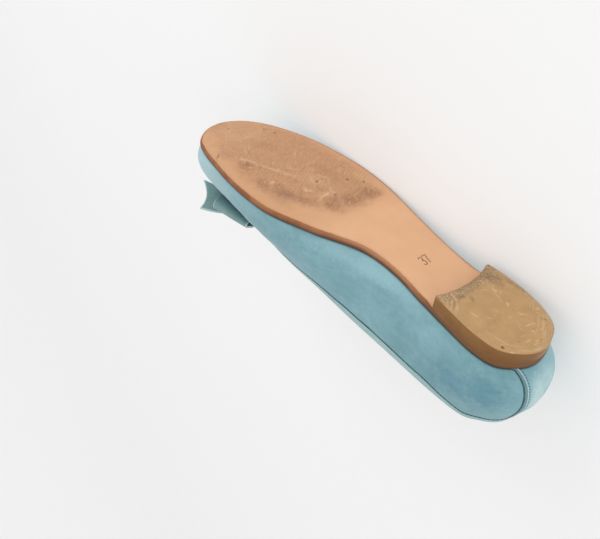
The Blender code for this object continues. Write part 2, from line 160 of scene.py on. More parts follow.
class Columns:
    """Smooth curves through the columns of a table, read by the angle of its stations."""

    def __init__(self, rows: Rows) -> None:
        """Reads the table, each row with its station first.

        Args:
            rows: the table, one row per station.
        """
        table = np.array(rows, float)
        self.at, self.value = angle_of(table[:, 0]), table[:, 1:]
        steps = np.diff(self.value, axis=0) / np.diff(self.at)[:, None]
        middle = (self.value[2:] - self.value[:-2]) / (self.at[2:] - self.at[:-2])[:, None]
        self.slope = np.concatenate([steps[:1], middle, steps[-1:]])

    def __call__(self, angle: Array) -> Array:
        """Each column's values at some angles, on curves that pass through every row.

        Args:
            angle: the angles to read at.

        Returns:
            A table of values, one column per column.
        """
        i = np.clip(np.searchsorted(self.at, angle) - 1, 0, len(self.at) - 2)
        step = (self.at[i + 1] - self.at[i])[:, None]
        t = (angle - self.at[i])[:, None] / step
        rise, fall = 2 * t**3 - 3 * t**2 + 1, -2 * t**3 + 3 * t**2
        leave, enter = t**3 - 2 * t**2 + t, t**3 - t**2
        bend = step * (leave * self.slope[i] + enter * self.slope[i + 1])
        return (rise * self.value[i] + fall * self.value[i + 1] + bend).T


class Ring(NamedTuple):
    """Steps round the shoe: heel, lateral side, toe, medial side."""

    angle: Array
    sign: Array

    def by_side(self, lateral: Array, medial: Array) -> Array:
        """Each step's value from its own side."""
        return np.where(self.sign > 0, lateral, medial)


class Last:
    """The form that the shoe is built on: the sole's outline, its arch, and the wall up to the collar."""

    def __init__(self) -> None:
        """Reads the tables."""
        self.width, self.collar, self.walls = Columns(SOLE_OUTLINE), Columns(COLLAR), Columns(LAST_WALLS)

    @staticmethod
    def ring(half_steps: int) -> Ring:
        """Evenly spaced steps round the shoe, half of them from heel to toe along one side.

        Args:
            half_steps: how many steps one side has.

        Returns:
            The ring.
        """
        there = np.pi * np.arange(half_steps + 1) / half_steps
        back = there[-2:0:-1]
        sign = np.concatenate([np.ones_like(there), -np.ones_like(back)])
        return Ring(np.concatenate([there, back]), sign)

    def outline(self, ring: Ring, inset: Union[float, Array] = 0.0) -> Array:
        """The sole's outline, moved inwards.

        Args:
            ring: the steps round the shoe.
            inset: how far it is moved inwards.

        Returns:
            An array of (x, y).
        """
        x = SOLE_LENGTH * (1.0 - np.cos(ring.angle)) / 2.0
        x = x + BACK_TRIM * (1.0 - ease(x / BACK_TRIM_RUN))
        lateral, medial = self.width(ring.angle)
        points = np.column_stack([x, ring.by_side(lateral, -medial)])
        return points - np.reshape(inset, (-1, 1)) * self.outwards(points)

    @staticmethod
    def outwards(points: Array) -> Array:
        """Unit vectors that point out of a closed run of (x, y)."""
        along = unit(np.roll(points, -1, axis=0) - np.roll(points, 1, axis=0))
        return np.column_stack([-along[:, 1], along[:, 0]])

    @staticmethod
    def underside(x: Array) -> Array:
        """Height of the sole's underside above the walking plane.

        Args:
            x: stations along the shoe.

        Returns:
            The heights.
        """
        arch = HEEL_HEIGHT * (1.0 - ease((x - ARCH_START) / (ARCH_END - ARCH_START)))
        spring = np.maximum(x - SPRING_START, 0.0) / (SOLE_LENGTH - SPRING_START)
        return arch + TOE_SPRING * spring**2

    def lifted(self, flat: Array, lift: Union[float, Array]) -> Array:
        """Places of (x, y), raised above the sole's underside."""
        height = self.underside(flat[..., 0]) + lift
        return np.concatenate([flat, height[..., None]], axis=-1)

    def wall(self, ring: Ring, shares: Array) -> Array:
        """The upper's outer surface.

        Args:
            ring: the steps round the shoe.
            shares: heights as shares of the wall's curve, from 0 at the sole to 1 at the collar.

        Returns:
            Points as [share, step, xyz].
        """
        flat = self.outline(ring, FEATHER_INSET)
        foot = self.lifted(flat, SOLE_THICKNESS + GAP)
        outwards = np.column_stack([self.outwards(flat), np.zeros(len(flat))])
        up = np.array([0.0, 0.0, 1.0])
        reaches, lateral, medial, high_lateral, high_medial = self.collar(ring.angle)
        rim = np.column_stack([reaches, ring.by_side(lateral, -medial), ring.by_side(high_lateral, high_medial)])
        out_lateral, out_medial, rise, reach, lean_lateral, lean_medial = self.walls(ring.angle)
        leave = foot + ring.by_side(out_lateral, out_medial)[:, None] * outwards + rise[:, None] * up
        lean = ring.by_side(lean_lateral, lean_medial)[:, None]
        share = ease((lean - STEEP_LEAN) / (FLAT_LEAN - STEEP_LEAN))
        away = unit((foot - rim) * (1.0, 1.0, 0.0))
        away = unit((1.0 - share) * outwards + share * away)
        lean = np.radians(lean)
        enter = rim + reach[:, None] * (np.sin(lean) * away - np.cos(lean) * up)
        t = np.asarray(shares, float).reshape(-1, 1, 1)
        s = 1.0 - t
        return s**3 * foot + 3 * s * s * t * leave + 3 * s * t * t * enter + t**3 * rim


def noise_table(points: Array, size: float, seed: float) -> Array:
    """Smooth noise between about -1 and 1 at every place of a table.

    Args:
        points: an array that ends in xy or xyz.
        size: the size of the noise's bumps in millimetres.
        seed: a shift that gives a different pattern.

    Returns:
        The values, in the table's shape.
    """
    flat = points.reshape(-1, points.shape[-1])
    places = np.column_stack([flat, np.zeros(len(flat))])[:, :3] / size + np.array([1, -2, 3]) * seed
    return np.array([noise.noise(Vector(place)) for place in places]).reshape(points.shape[:-1])


def distance_to(path: Array, points: Array) -> Array:
    """The distance in plan from each place to a closely spaced path.

    Args:
        path: an array of (x, y).
        points: an array that ends in (x, y).

    Returns:
        The distances, in the table's shape.
    """
    tree = kdtree.KDTree(len(path))
    for i, (x, y) in enumerate(path):
        tree.insert((x, y, 0.0), i)
    tree.balance()
    flat = points.reshape(-1, 2)
    return np.array([tree.find((x, y, 0.0))[2] for x, y in flat]).reshape(points.shape[:-1])


def inside(polygon: Array, points: Array) -> Array:
    """Whether each place lies inside a polygon.

    Args:
        polygon: its corners as (x, y).
        points: an array that ends in (x, y).

    Returns:
        True or False for each place.
    """
    x, y = points[..., 0], points[..., 1]
    found = np.zeros(x.shape, bool)
    for (x1, y1), (x2, y2) in zip(polygon, np.roll(polygon, -1, axis=0)):
        crosses = (y1 > y) != (y2 > y)
        at = (x2 - x1) * (y - y1) / (y2 - y1 + 1e-12) + x1
        found ^= crosses & (x < at)
    return found


def smooth_run(points: Sequence[Sequence[float]], count: int, loop: bool = False) -> Array:
    """A smooth curve through a few points.

    Args:
        points: the points.
        count: how many points to give back.
        loop: whether the curve closes on itself.

    Returns:
        The curve's points, evenly spaced in the run of the given ones.
    """
    given = np.array(points, float)
    n = len(given)
    at = np.linspace(0, n if loop else n - 1, count, endpoint=not loop)
    i = np.minimum(at.astype(int), n - 1 if loop else n - 2)
    t = (at - i)[:, None]

    def pick(offset: int) -> Array:
        """The given point that lies offset steps further.

        Args:
            offset: how many steps further.

        Returns:
            The point.
        """
        k = i + offset
        if loop:
            return given[k % n]
        low = np.clip(k, 0, n - 1)
        extra = (k - low)[:, None]
        return given[low] + extra * np.where(extra < 0, given[1] - given[0], given[-1] - given[-2])

    a, b, c, d = (pick(offset) for offset in (-1, 0, 1, 2))
    return 0.5 * (2 * b + (c - a) * t + (2 * a - 5 * b + 4 * c - d) * t**2 + (3 * b - a - 3 * c + d) * t**3)



def spaced(path: Array, start: float, before_end: float, step: float, half: float) -> list[Array]:
    """Short stretches along a path.

    Args:
        path: its points.
        start: how far along it the first stretch lies.
        before_end: how far before its end they stop.
        step: from one to the next.
        half: half the length of each.

    Returns:
        The two ends of each stretch.
    """
    length = np.concatenate([[0.0], np.cumsum(np.linalg.norm(np.diff(path, axis=0), axis=1))])
    middles = np.arange(start, length[-1] - before_end, step)
    return [np.column_stack([np.interp((at - half, at + half), length, one) for one in path.T]) for at in middles]


def dented(rows: Rows, points: Array) -> Array:
    """How deep soft hollows press in.

    Args:
        rows: each hollow's middle x and y, half length and half width, turn in degrees, and depth.
        points: an array that ends in (x, y).

    Returns:
        The depths, in the table's shape.
    """
    depth = np.zeros(points.shape[:-1])
    for x, y, long, wide, turn, deep in rows:
        cos, sin = math.cos(math.radians(turn)), math.sin(math.radians(turn))
        right, up = points[..., 0] - x, points[..., 1] - y
        ahead, across = right * cos + up * sin, up * cos - right * sin
        depth += deep * np.exp(-((ahead / long) ** 2) - (across / wide) ** 2)
    return depth


def drawn(rows: Rows, points: Array) -> Array:
    """How strongly thin scratches show, each fading towards its ends.

    Args:
        rows: each scratch's half width and strength, then the x and y of the places that it runs through.
        points: an array that ends in (x, y).

    Returns:
        The strength of the strongest, in the table's shape.
    """
    strongest = np.zeros(points.shape[:-1])
    for wide, strength, *run in rows:
        course = smooth_run(np.reshape(run, (-1, 2)), 3 * len(run))
        low, high = course.min(axis=0) - 4 * wide, course.max(axis=0) + 4 * wide
        near = np.all((points >= low) & (points <= high), axis=-1)
        places = points[near]
        best, share = np.full(len(places), 1e9), np.zeros(len(places))
        for k, (a, b) in enumerate(zip(course, course[1:])):
            t = np.clip((places - a) @ (b - a) / ((b - a) @ (b - a)), 0.0, 1.0)
            away = np.linalg.norm(places - a - t[:, None] * (b - a), axis=-1)
            share = np.where(away < best, (k + t) / (len(course) - 1), share)
            best = np.minimum(best, away)
        shown = strength * (0.45 + 0.55 * np.sin(np.pi * share)) * np.exp(-((best / wide) ** 2))
        strongest[near] = np.maximum(strongest[near], shown)
    return strongest


# ---- meshes ----


def sheet(points: Array, values: Optional[dict[str, Array]] = None, weld: bool = True) -> Mesh:
    """A surface through a table of points, from a grid whose vertices are moved onto them.

    Args:
        points: the places as [row, column, xyz].
        values: numbers to keep on the vertices, each an array of [row, column].
        weld: whether places that coincide become one vertex, which closes seams and poles.

    Returns:
        The new mesh.
    """
    rows, columns = points.shape[:2]
    bm = bmesh.new()
    bmesh.ops.create_grid(bm, x_segments=columns - 1, y_segments=rows - 1, size=0.5)
    layers = {name: bm.verts.layers.float.new(name) for name in values or {}}
    for vertex in bm.verts:
        column = round((vertex.co.x + 0.5) * (columns - 1))
        row = round((vertex.co.y + 0.5) * (rows - 1))
        for name, layer in layers.items():
            vertex[layer] = float(values[name][row, column])
        vertex.co = points[row, column]
    if weld:
        bmesh.ops.remove_doubles(bm, verts=bm.verts, dist=1e-4)
        bmesh.ops.dissolve_degenerate(bm, edges=bm.edges, dist=1e-5)
    return bm


def closed(table: Array, axis: int) -> Array:
    """The table with its first row, on axis 0, or its first column, on axis 1, again at the end."""
    return np.concatenate([table, np.take(table, [0], axis=axis)], axis=axis)


def strips(boundary: Array, rows: int) -> Array:
    """Straight strips between the two sides of a closed boundary.

    Args:
        boundary: the boundary's points in the order of a ring.
        rows: the number of steps across.

    Returns:
        Points as [row, column, xy or xyz], from the lateral side to the medial side.
    """
    half = len(boundary) // 2
    lateral = boundary[: half + 1]
    medial = boundary[-np.arange(half + 1) % len(boundary)]
    t = np.linspace(0.0, 1.0, rows + 1).reshape(-1, 1, 1)
    return (1.0 - t) * lateral + t * medial


def joined(parts: Sequence[Mesh], weld: float = 1e-4) -> Mesh:
    """Several meshes as one, with their shared borders merged.

    Args:
        parts: the meshes, which are used up.
        weld: how near two vertices lie to be merged, or 0 to merge none.

    Returns:
        The one mesh.
    """
    whole = bmesh.new()
    for part in parts:
        for name in part.verts.layers.float.keys():
            if name not in whole.verts.layers.float:
                whole.verts.layers.float.new(name)
    for part in parts:
        held = bpy.data.meshes.new("held")
        part.to_mesh(held)
        part.free()
        whole.from_mesh(held)
        bpy.data.meshes.remove(held)
    if weld:
        bmesh.ops.remove_doubles(whole, verts=whole.verts, dist=weld)
    return whole


def bar(
    path: Array, normals: Array, half_width: Union[float, Array], half_height: float, steps: int = 8
) -> Mesh:
    """A closed bar with an oval section along a path.

    Args:
        path: the middle line's points.
        normals: the direction of the section's height at each point.
        half_width: half its width, one number or one for each point.
        half_height: half its height.
        steps: the number of sides.

    Returns:
        The new mesh.
    """
    along = unit(np.gradient(path, axis=0))
    across = unit(np.cross(along, normals))
    turn = (2 * np.pi * np.arange(steps) / steps)[:, None]
    width = np.broadcast_to(half_width, (len(path),))
    ovals = [
        middle + np.cos(turn) * wide * side + np.sin(turn) * half_height * up
        for middle, wide, side, up in zip(path, width, across, normals)
    ]
    first = path[0] - along[0] * min(half_height, width[0]) + np.zeros((steps, 3))
    last = path[-1] + along[-1] * min(half_height, width[-1]) + np.zeros((steps, 3))
    return sheet(closed(np.array([first, *ovals, last]), 1))


def finished(name: str, bm: Mesh, material: Material) -> Piece:
    """Turns a mesh into a smooth object at the origin.

    Args:
        name: its name.
        bm: the mesh, which is used up.
        material: its finish.

    Returns:
        The object, linked to the scene.
    """
    mesh = bpy.data.meshes.new(name)
    bm.to_mesh(mesh)
    bm.free()
    mesh.shade_smooth()
    mesh.materials.append(material)
    piece = bpy.data.objects.new(name, mesh)
    bpy.context.scene.collection.objects.link(piece)
    return piece


class ShoeFrame:
    """Lays the shoe's millimetres into the frame's metres, in the place that its solids hold."""

    def __init__(self) -> None:
        """Finds the shoe's origin from the outsole's backmost point and the heel's lowest one."""
        roll = Matrix.Rotation(math.radians(-LIE_ROLL), 3, "X")
        self.turn = roll @ Matrix.Rotation(math.radians(-LIE_YAW), 3, "Z")
        outsole, heel = (self.unturned(name) for name in ("outsole", "heel"))
        back = outsole[np.argmin(outsole[:, 0])]
        start = Vector((back[0] - BACK_TRIM * MM, back[1], heel[:, 2].min()))
        self.origin = self.turn @ start
        self.matrix = Matrix.Translation(self.origin) @ (self.turn.to_4x4() @ Matrix.Scale(MM, 4))

    def unturned(self, node: str) -> Array:
        """A CAD node's vertices, turned back to stand on the sole."""
        places = np.array([vertex.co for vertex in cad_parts[node].data.vertices])
        return places @ np.array(self.turn)

    def place(
        self, name: str, bm: Mesh, material: Material, slot: Slot, stands_for: Sequence[str] = (),
        sharp: float = 50.0, outwards: bool = True,
    ) -> Piece:  # fmt: skip
        """Finishes a mesh as a named piece that rides on the shoe.

        Args:
            name: the piece's name.
            bm: its mesh in the shoe's millimetres, which is used up.
            material: its finish.
            slot: the record's slot that the finish comes from; not used.
            stands_for: the CAD nodes that it replaces.
            sharp: the angle in degrees from which an edge is drawn sharp.
            outwards: whether its faces are turned outwards first.

        Returns:
            The piece.
        """
        if outwards:
            bmesh.ops.recalc_face_normals(bm, faces=bm.faces)
        bmesh.ops.transform(bm, matrix=self.matrix, verts=bm.verts)
        piece = finished(name, bm, material)
        piece.data.set_sharp_from_angle(angle=math.radians(sharp))
        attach(piece, BODY)
        if stands_for:
            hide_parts(*stands_for)
        LOG.info("%s: %d faces", name, len(piece.data.polygons))
        return piece


# ---- nodes ----


class Effect(Enum):
    """The node groups that several finishes share."""

    PATCH = "placed_patch"
    MOTTLE = "soft_mottle"
    NAP = "brushed_nap"
    SCRATCH = "fine_scratches"
    PIT = "small_pits"
    BURNISH = "burnished_edge"
    RIBS = "roughened_ribs"


class Mark(NamedTuple):
    """One soft patch: its middle, its half sizes, and the turn of its length from the shoe's axis in degrees."""

    centre: tuple[float, ...]
    size: tuple[float, ...]
    turn: float = 0.0
    strength: float = 1.0
    ragged: float = 0.5


Marks = tuple[Mark, ...]


def marks(*rows: tuple[float, ...]) -> Marks:
    """Patches on the upper, each the x, y and z of its middle, three half sizes, turn, strength and raggedness."""
    return tuple(Mark(row[:3], row[3:6], *row[6:]) for row in rows)


def flat_marks(*rows: tuple[float, ...]) -> Marks:
    """Patches on sole or heel at any height, each x, y, half length, half width, turn and strength."""
    return tuple(Mark((*row[:2], 0.0), (*row[2:4], 1000.0), *row[4:]) for row in rows)


class Wiring:
    """Adds and joins the nodes of one material or node group."""

    def __init__(self, tree: Tree) -> None:
        """Starts from an empty tree."""
        self.tree = tree
        tree.nodes.clear()

    def put(self, socket: Socket, value: object) -> None:
        """Links a socket to another one, or sets its own value, a colour by its red, green and blue.

        Args:
            socket: the socket to fill.
            value: another socket, a number, a vector or a colour.
        """
        if isinstance(value, Socket):
            self.tree.links.new(value, socket)
        else:
            socket.default_value = (*value, 1.0) if socket.type == "RGBA" else value

    def add(self, kind: str, inputs: Optional[dict] = None, **settings: object) -> Node:
        """Adds a node.

        Args:
            kind: the node's type, without its "ShaderNode".
            inputs: values or sockets by input name or number.
            settings: the node's own settings.

        Returns:
            The node.
        """
        node = self.tree.nodes.new("ShaderNode" + kind)
        for name, setting in settings.items():
            setattr(node, name, setting)
        for key, value in (inputs or {}).items():
            self.put(node.inputs[key], value)
        return node

    def math(self, operation: str, a: Value, b: Value = 0.0, clamp: bool = False) -> Socket:
        """The result of a Math node."""
        return self.add("Math", {0: a, 1: b}, operation=operation, use_clamp=clamp).outputs[0]

    def times(self, *values: Value) -> Socket:
        """The product of some values."""
        return reduce(lambda a, b: self.math("MULTIPLY", a, b), values)

    def plus(self, a: Value, b: Value, clamp: bool = False) -> Socket:
        """The sum of two values."""
        return self.math("ADD", a, b, clamp)

    def minus(self, a: Value, b: Value) -> Socket:
        """The first value less the second."""
        return self.math("SUBTRACT", a, b)

    def vector(self, operation: str, a: object, b: object) -> Socket:
        """The result of a Vector Math node."""
        return self.add("VectorMath", {0: a, 1: b}, operation=operation).outputs[0]

    def part(self, vector: Socket, axis: int) -> Socket:
        """A vector's x, y or z."""
        return self.add("SeparateXYZ", {0: vector}).outputs[axis]

    def together(self, x: Value, y: Value, z: Value = 0.0) -> Socket:
        """A vector from its x, y and z."""
        return self.add("CombineXYZ", {0: x, 1: y, 2: z}).outputs[0]

    def turned(self, vector: Socket, angle: Value) -> Socket:
        """A place, with the shoe's axis turned by an angle in plan."""
        inputs = {"Vector": vector, "Angle": angle}
        return self.add("VectorRotate", inputs, rotation_type="Z_AXIS", invert=True).outputs[0]

    def mix(self, factor: Union[Value, tuple], a: object, b: object, blend: str = "MIX") -> Socket:
        """A colour between two colours.

        Args:
            factor: how much of the second, or several values to multiply for that.
            a: the first colour.
            b: the second colour.
            blend: how they are mixed.

        Returns:
            The mixed colour.
        """
        share = self.times(*factor) if isinstance(factor, tuple) else factor
        return self.add("Mix", {0: share, 6: a, 7: b}, data_type="RGBA", blend_type=blend).outputs[2]

    def span(self, value: Value, low: Value, high: Value, to: tuple = (0.0, 1.0)) -> Socket:
        """A value's place between two limits, with eased ends.

        Args:
            value: what is measured.
            low: the limit that gives the first result.
            high: the limit that gives the second.
            to: the two results.

        Returns:
            The result, held between the two.
        """
        inputs = {0: value, 1: low, 2: high, 3: to[0], 4: to[1]}
        return self.add("MapRange", inputs, interpolation_type="SMOOTHSTEP").outputs[0]

    def noise(self, vector: Socket, scale: Value, detail: float = 2.0, roughness: float = 0.5) -> Socket:
        """The value of a Noise node."""
        inputs = {"Vector": vector, "Scale": scale, "Detail": detail, "Roughness": roughness}
        return self.add("TexNoise", inputs).outputs[0]

    def wobble(self, vector: Socket, scale: float, roughness: float, reach: Value) -> Socket:
        """Noise on both sides of 0, times its reach."""
        return self.times(self.minus(self.noise(vector, scale, 4.0, roughness), 0.5), reach)

    def attribute(self, name: str) -> Socket:
        """A number that the mesh holds on its vertices."""
        return self.add("Attribute", attribute_name=name).outputs["Fac"]


class Group(Wiring):
    """A node group in the making, whose first input is the place on the shoe."""

    def __init__(self, effect: Effect, outputs: Sequence[str] = ("Mask",), **inputs: object) -> None:
        """Starts a node group.

        Args:
            effect: which one.
            outputs: its outputs' names, each a number.
            inputs: its other inputs' names with their first values, three numbers for a vector.
        """
        super().__init__(bpy.data.node_groups.new(effect.value, "ShaderNodeTree"))
        for name, value in {"Vector": (0.0, 0.0, 0.0), **inputs}.items():
            kind = "NodeSocketVector" if isinstance(value, tuple) else "NodeSocketFloat"
            self.tree.interface.new_socket(name, in_out="INPUT", socket_type=kind).default_value = value
        for name in outputs:
            self.tree.interface.new_socket(name, in_out="OUTPUT", socket_type="NodeSocketFloat")
        self.entry = list(self.tree.nodes.new("NodeGroupInput").outputs)[:-1]
        self.leave = self.tree.nodes.new("NodeGroupOutput").inputs

    def finish(self, **sockets: Socket) -> Tree:
        """Links the group's outputs, by name, and gives the group.

        Args:
            sockets: what each output gives.

        Returns:
            The group.
        """
        for name, socket in sockets.items():
            self.tree.links.new(socket, self.leave[name])
        return self.tree


class Workshop:
    """What every finish is made with: the shoe's place, and the shared effects, each built once."""

    def __init__(self, shoe: ShoeFrame) -> None:
        """Keeps the shoe's frame and starts with no effect built."""
        self.shoe = shoe
        self.made: dict[Effect, Tree] = {}

    def __getitem__(self, effect: Effect) -> Tree:
        """The effect's node group.

        Args:
            effect: which effect.

        Returns:
            The node group.
        """
        if effect not in self.made:
            self.made[effect] = getattr(self, effect.name.lower())()
        return self.made[effect]

    @staticmethod
    def patch() -> Tree:
        """A soft-edged oval at a place on the shoe, with a ragged border.

        Returns:
            The group.
        """
        names = {"Centre": (0.0, 0.0, 0.0), "Size": (1.0, 1.0, 1.0), "Turn": 0.0, "Ragged": 0.4, "Strength": 1.0}
        w = Group(Effect.PATCH, **names)
        vector, centre, size, turn, ragged, strength = w.entry
        away = w.vector("DIVIDE", w.turned(w.vector("SUBTRACT", vector, centre), turn), size)
        within = w.add("VectorMath", {0: away}, operation="LENGTH").outputs["Value"]
        within = w.plus(within, w.wobble(vector, 0.45, 0.62, w.times(ragged, 2.0)))
        return w.finish(Mask=w.times(w.span(within, 1.25, 0.35), strength))

    @staticmethod
    def mottle() -> Tree:
        """Soft light and dark areas.

        Returns:
            The group.
        """
        w = Group(Effect.MOTTLE, Size=10.0, Contrast=0.5)
        vector, size, contrast = w.entry
        value = w.noise(vector, w.math("DIVIDE", 1.0, size), 3.0, 0.55)
        half = w.minus(0.5, w.times(contrast, 0.45))
        return w.finish(Mask=w.span(value, half, w.minus(1.0, half)))

    @staticmethod
    def nap() -> Tree:
        """The short fibres of suede, with the lie that brushing leaves.

        Returns:
            The group.
        """
        w = Group(Effect.NAP, ("Mask", "Height"), Fibre=0.3, Brush=(1.0, 1.0, 1.0))
        vector, size, brush = w.entry
        fibre = w.noise(vector, w.math("DIVIDE", 1.0, size), 3.0, 0.7)
        tuft = w.noise(vector, w.math("DIVIDE", 0.22, size), 3.0, 0.6)
        lie = w.noise(w.vector("MULTIPLY", vector, brush), 0.12, 3.0, 0.6)
        mask = w.span(w.plus(w.times(tuft, 0.45), w.times(lie, 0.55)), 0.36, 0.64)
        return w.finish(Mask=mask, Height=w.plus(w.times(fibre, 0.5), w.times(tuft, 0.5)))

    @staticmethod
    def scratch() -> Tree:
        """Fine straight scratches in one direction.

        Returns:
            The group.
        """
        w = Group(Effect.SCRATCH, Turn=0.0, Length=12.0, Width=0.4, Cover=0.3)
        vector, turn, length, width, cover = w.entry
        bent = w.vector("ADD", vector, w.times(w.noise(vector, 0.05, 2.0, 0.5), 6.0))
        stretched = w.vector("DIVIDE", w.turned(bent, turn), w.together(length, width, 40.0))
        low = w.minus(0.72, w.times(cover, 0.3))
        return w.finish(Mask=w.span(w.noise(stretched, 1.0, 2.0, 0.6), low, w.plus(low, 0.12)))

    @staticmethod
    def pit() -> Tree:
        """Small dots strewn unevenly.

        Returns:
            The group.
        """
        w = Group(Effect.PIT, Spacing=3.0, Size=0.4, Share=0.4)
        vector, spacing, size, share = w.entry
        cells = w.add("TexVoronoi", {"Vector": vector, "Scale": w.math("DIVIDE", 1.0, spacing), "Randomness": 1.0})
        within = w.math("DIVIDE", w.times(cells.outputs["Distance"], spacing), size)
        pick = w.add("SeparateColor", {0: cells.outputs["Color"]}).outputs[0]
        return w.finish(Mask=w.times(w.span(within, 1.2, 0.5), w.math("LESS_THAN", pick, share)))

    @staticmethod
    def ribs() -> Tree:
        """Fine side-by-side lines that fade in and out.

        Returns:
            The group.
        """
        w = Group(Effect.RIBS, Turn=0.0, Spacing=2.1, Dash=3.0)
        vector, turn, spacing, dash = w.entry
        turned = w.turned(vector, turn)
        bent = w.plus(w.part(turned, 1), w.times(w.noise(vector, 0.13, 2.0, 0.5), 4.0))
        wave = w.math("SINE", w.times(w.math("DIVIDE", bent, spacing), 2.0 * math.pi))
        broken = w.vector("DIVIDE", turned, w.together(dash, w.times(spacing, 0.8), 40.0))
        shown = w.span(w.noise(broken, 1.0, 2.0, 0.6), 0.4, 0.62)
        return w.finish(Mask=w.times(w.span(wave, -0.4, 0.9), shown))

    @staticmethod
    def burnish() -> Tree:
        """Where a leather edge is rubbed dark, from its distance to the edge.

        Returns:
            The group.
        """
        w = Group(Effect.BURNISH, Edge=0.0, Width=1.2, Ragged=0.6)
        vector, edge, width, ragged = w.entry
        edge = w.plus(edge, w.wobble(vector, 0.35, 0.65, w.times(ragged, 2.0)))
        return w.finish(Mask=w.span(edge, w.times(width, 1.25), w.times(width, 0.75)))

    def start(self, name: str, roughness: float, gloss: float) -> tuple["Finish", Socket]:
        """Starts a finish, and gives it with the place on the shoe in millimetres."""
        finish = Finish(self, name, roughness, gloss)
        return finish, finish.place


class Finish(Wiring):
    """A material in the making."""

    def __init__(self, shop: Workshop, name: str, roughness: float, gloss: float) -> None:
        """Starts a material.

        Args:
            shop: the shoe's place and the shared effects.
            name: the material's name.
            roughness: its plain roughness.
            gloss: its specular level.
        """
        self.shop, self.made = shop, bpy.data.materials.new(name)
        self.made.use_nodes = True
        super().__init__(self.made.node_tree)
        shader = self.add("BsdfPrincipled", {"Roughness": roughness, "Specular IOR Level": gloss})
        self.shader = shader.inputs
        self.tree.links.new(shader.outputs[0], self.add("OutputMaterial").inputs[0])
        inputs = {
            "Vector": self.add("TexCoord").outputs["Object"],
            "Location": shop.shoe.origin,
            "Rotation": shop.shoe.turn.to_euler(),
            "Scale": (MM, MM, MM),
        }
        self.place = self.add("Mapping", inputs, vector_type="TEXTURE").outputs[0]

    def effect(self, effect: Effect, output: str = "Mask", **inputs: object) -> Socket:
        """Places a shared effect.

        Args:
            effect: which one.
            output: which of its outputs is wanted.
            inputs: its values or sockets by input name.

        Returns:
            The output.
        """
        node = self.tree.nodes.new("ShaderNodeGroup")
        node.node_tree = self.shop[effect]
        for key, value in {"Vector": self.place, **inputs}.items():
            self.put(node.inputs[key], value)
        return node.outputs[output]

    def marks(self, marks: Marks) -> Socket:
        """The strongest of several placed patches.

        Args:
            marks: the patches to place.

        Returns:
            The mask.
        """
        mask: Value = 0.0
        for mark in marks:
            named = dict(zip(("Centre", "Size", "Turn", "Strength", "Ragged"), mark))
            named["Turn"] = math.radians(mark.turn)
            mask = self.math("MAXIMUM", mask, self.effect(Effect.PATCH, **named))
        return mask

    def dress(self, colour: Socket, roughness: Value, height: Socket, depth: float, strength: float) -> Material:
        """Gives the material its colour, roughness and fine relief.

        Args:
            colour: its colour.
            roughness: its roughness.
            height: the relief, from 0 to 1.
            depth: the relief's full height in millimetres.
            strength: how strongly it shows.

        Returns:
            The material.
        """
        bump = self.add("Bump", {"Height": height, "Distance": depth * MM, "Strength": strength}).outputs[0]
        for name, value in {"Base Color": colour, "Roughness": roughness, "Normal": bump}.items():
            self.put(self.shader[name], value)
        return self.made


# ---- finishes ----


@dataclass(frozen=True)
class Suede:
    """Brushed suede with soft patches, painted sheen highlights, and painted shade along the sole and in the bow's
    folds.
    """

    name: str
    base: Colour
    pale: Colour
    deep: Colour
    cool: Colour
    # A painted sheen highlight colour, laid where its marks lie
    bright: Colour = (0.56, 0.7, 0.7)
    cut_edge: Colour = (0.52, 0.64, 0.64)
    folded_shade: Colour = (0.014, 0.074, 0.094)
    foot_shade: Colour = (0.015, 0.03, 0.035)
    pale_marks: Marks = ()
    deep_marks: Marks = ()
    cool_marks: Marks = ()
    bright_marks: Marks = ()
    touches_sole: bool = False
    ribbon: bool = False
    edge_width: float = 0.55
    fibre: float = 0.32
    nap_share: float = 0.5

    def build(self, shop: Workshop) -> Material:
        """Makes the material in a workshop.

        Args:
            shop: the workshop that has the effects.

        Returns:
            The material.
        """
        w, vector = shop.start(self.name, 0.9, 0.25)
        w.put(w.shader["Sheen Weight"], 0.2)
        w.put(w.shader["Sheen Roughness"], 0.4)
        nap = {"Fibre": self.fibre, "Brush": (0.6, 1.0, 2.2)}
        mask, height = (w.effect(Effect.NAP, output, **nap) for output in ("Mask", "Height"))
        colour = w.mix((w.effect(Effect.MOTTLE, Size=17.0, Contrast=0.62), 0.55), self.base, self.deep)
        colour = w.mix((w.effect(Effect.MOTTLE, Size=4.5, Contrast=0.5), 0.22), colour, self.pale)
        # The last tone's marks paint sheen highlights onto the suede
        for tone in ("deep", "cool", "pale", "bright"):
            patches = getattr(self, tone + "_marks")
            if patches:
                colour = w.mix(w.marks(patches), colour, getattr(self, tone))
        light = w.mix(mask, (0.9, 0.9, 0.9), (1.08, 1.08, 1.08))
        colour = w.mix(self.nap_share, colour, w.mix(1.0, colour, light, "MULTIPLY"))
        if self.touches_sole:
            foot = w.span(w.attribute("above_sole"), 1.4, 0.25)
            by_heel = w.span(w.part(vector, 0), 75.0, 45.0, (0.74, 0.88))
            colour = w.mix((foot, by_heel), colour, self.foot_shade)
        if self.ribbon:
            edge = w.span(w.attribute("from_edge"), self.edge_width * 1.3, self.edge_width * 0.5)
            colour = w.mix((edge, 0.8), colour, self.cut_edge)
            colour = w.mix((w.attribute("in_shade"), 0.8), colour, self.folded_shade)
        return w.dress(colour, w.span(mask, 0.0, 1.0, (0.95, 0.82)), height, 0.16, 0.8)


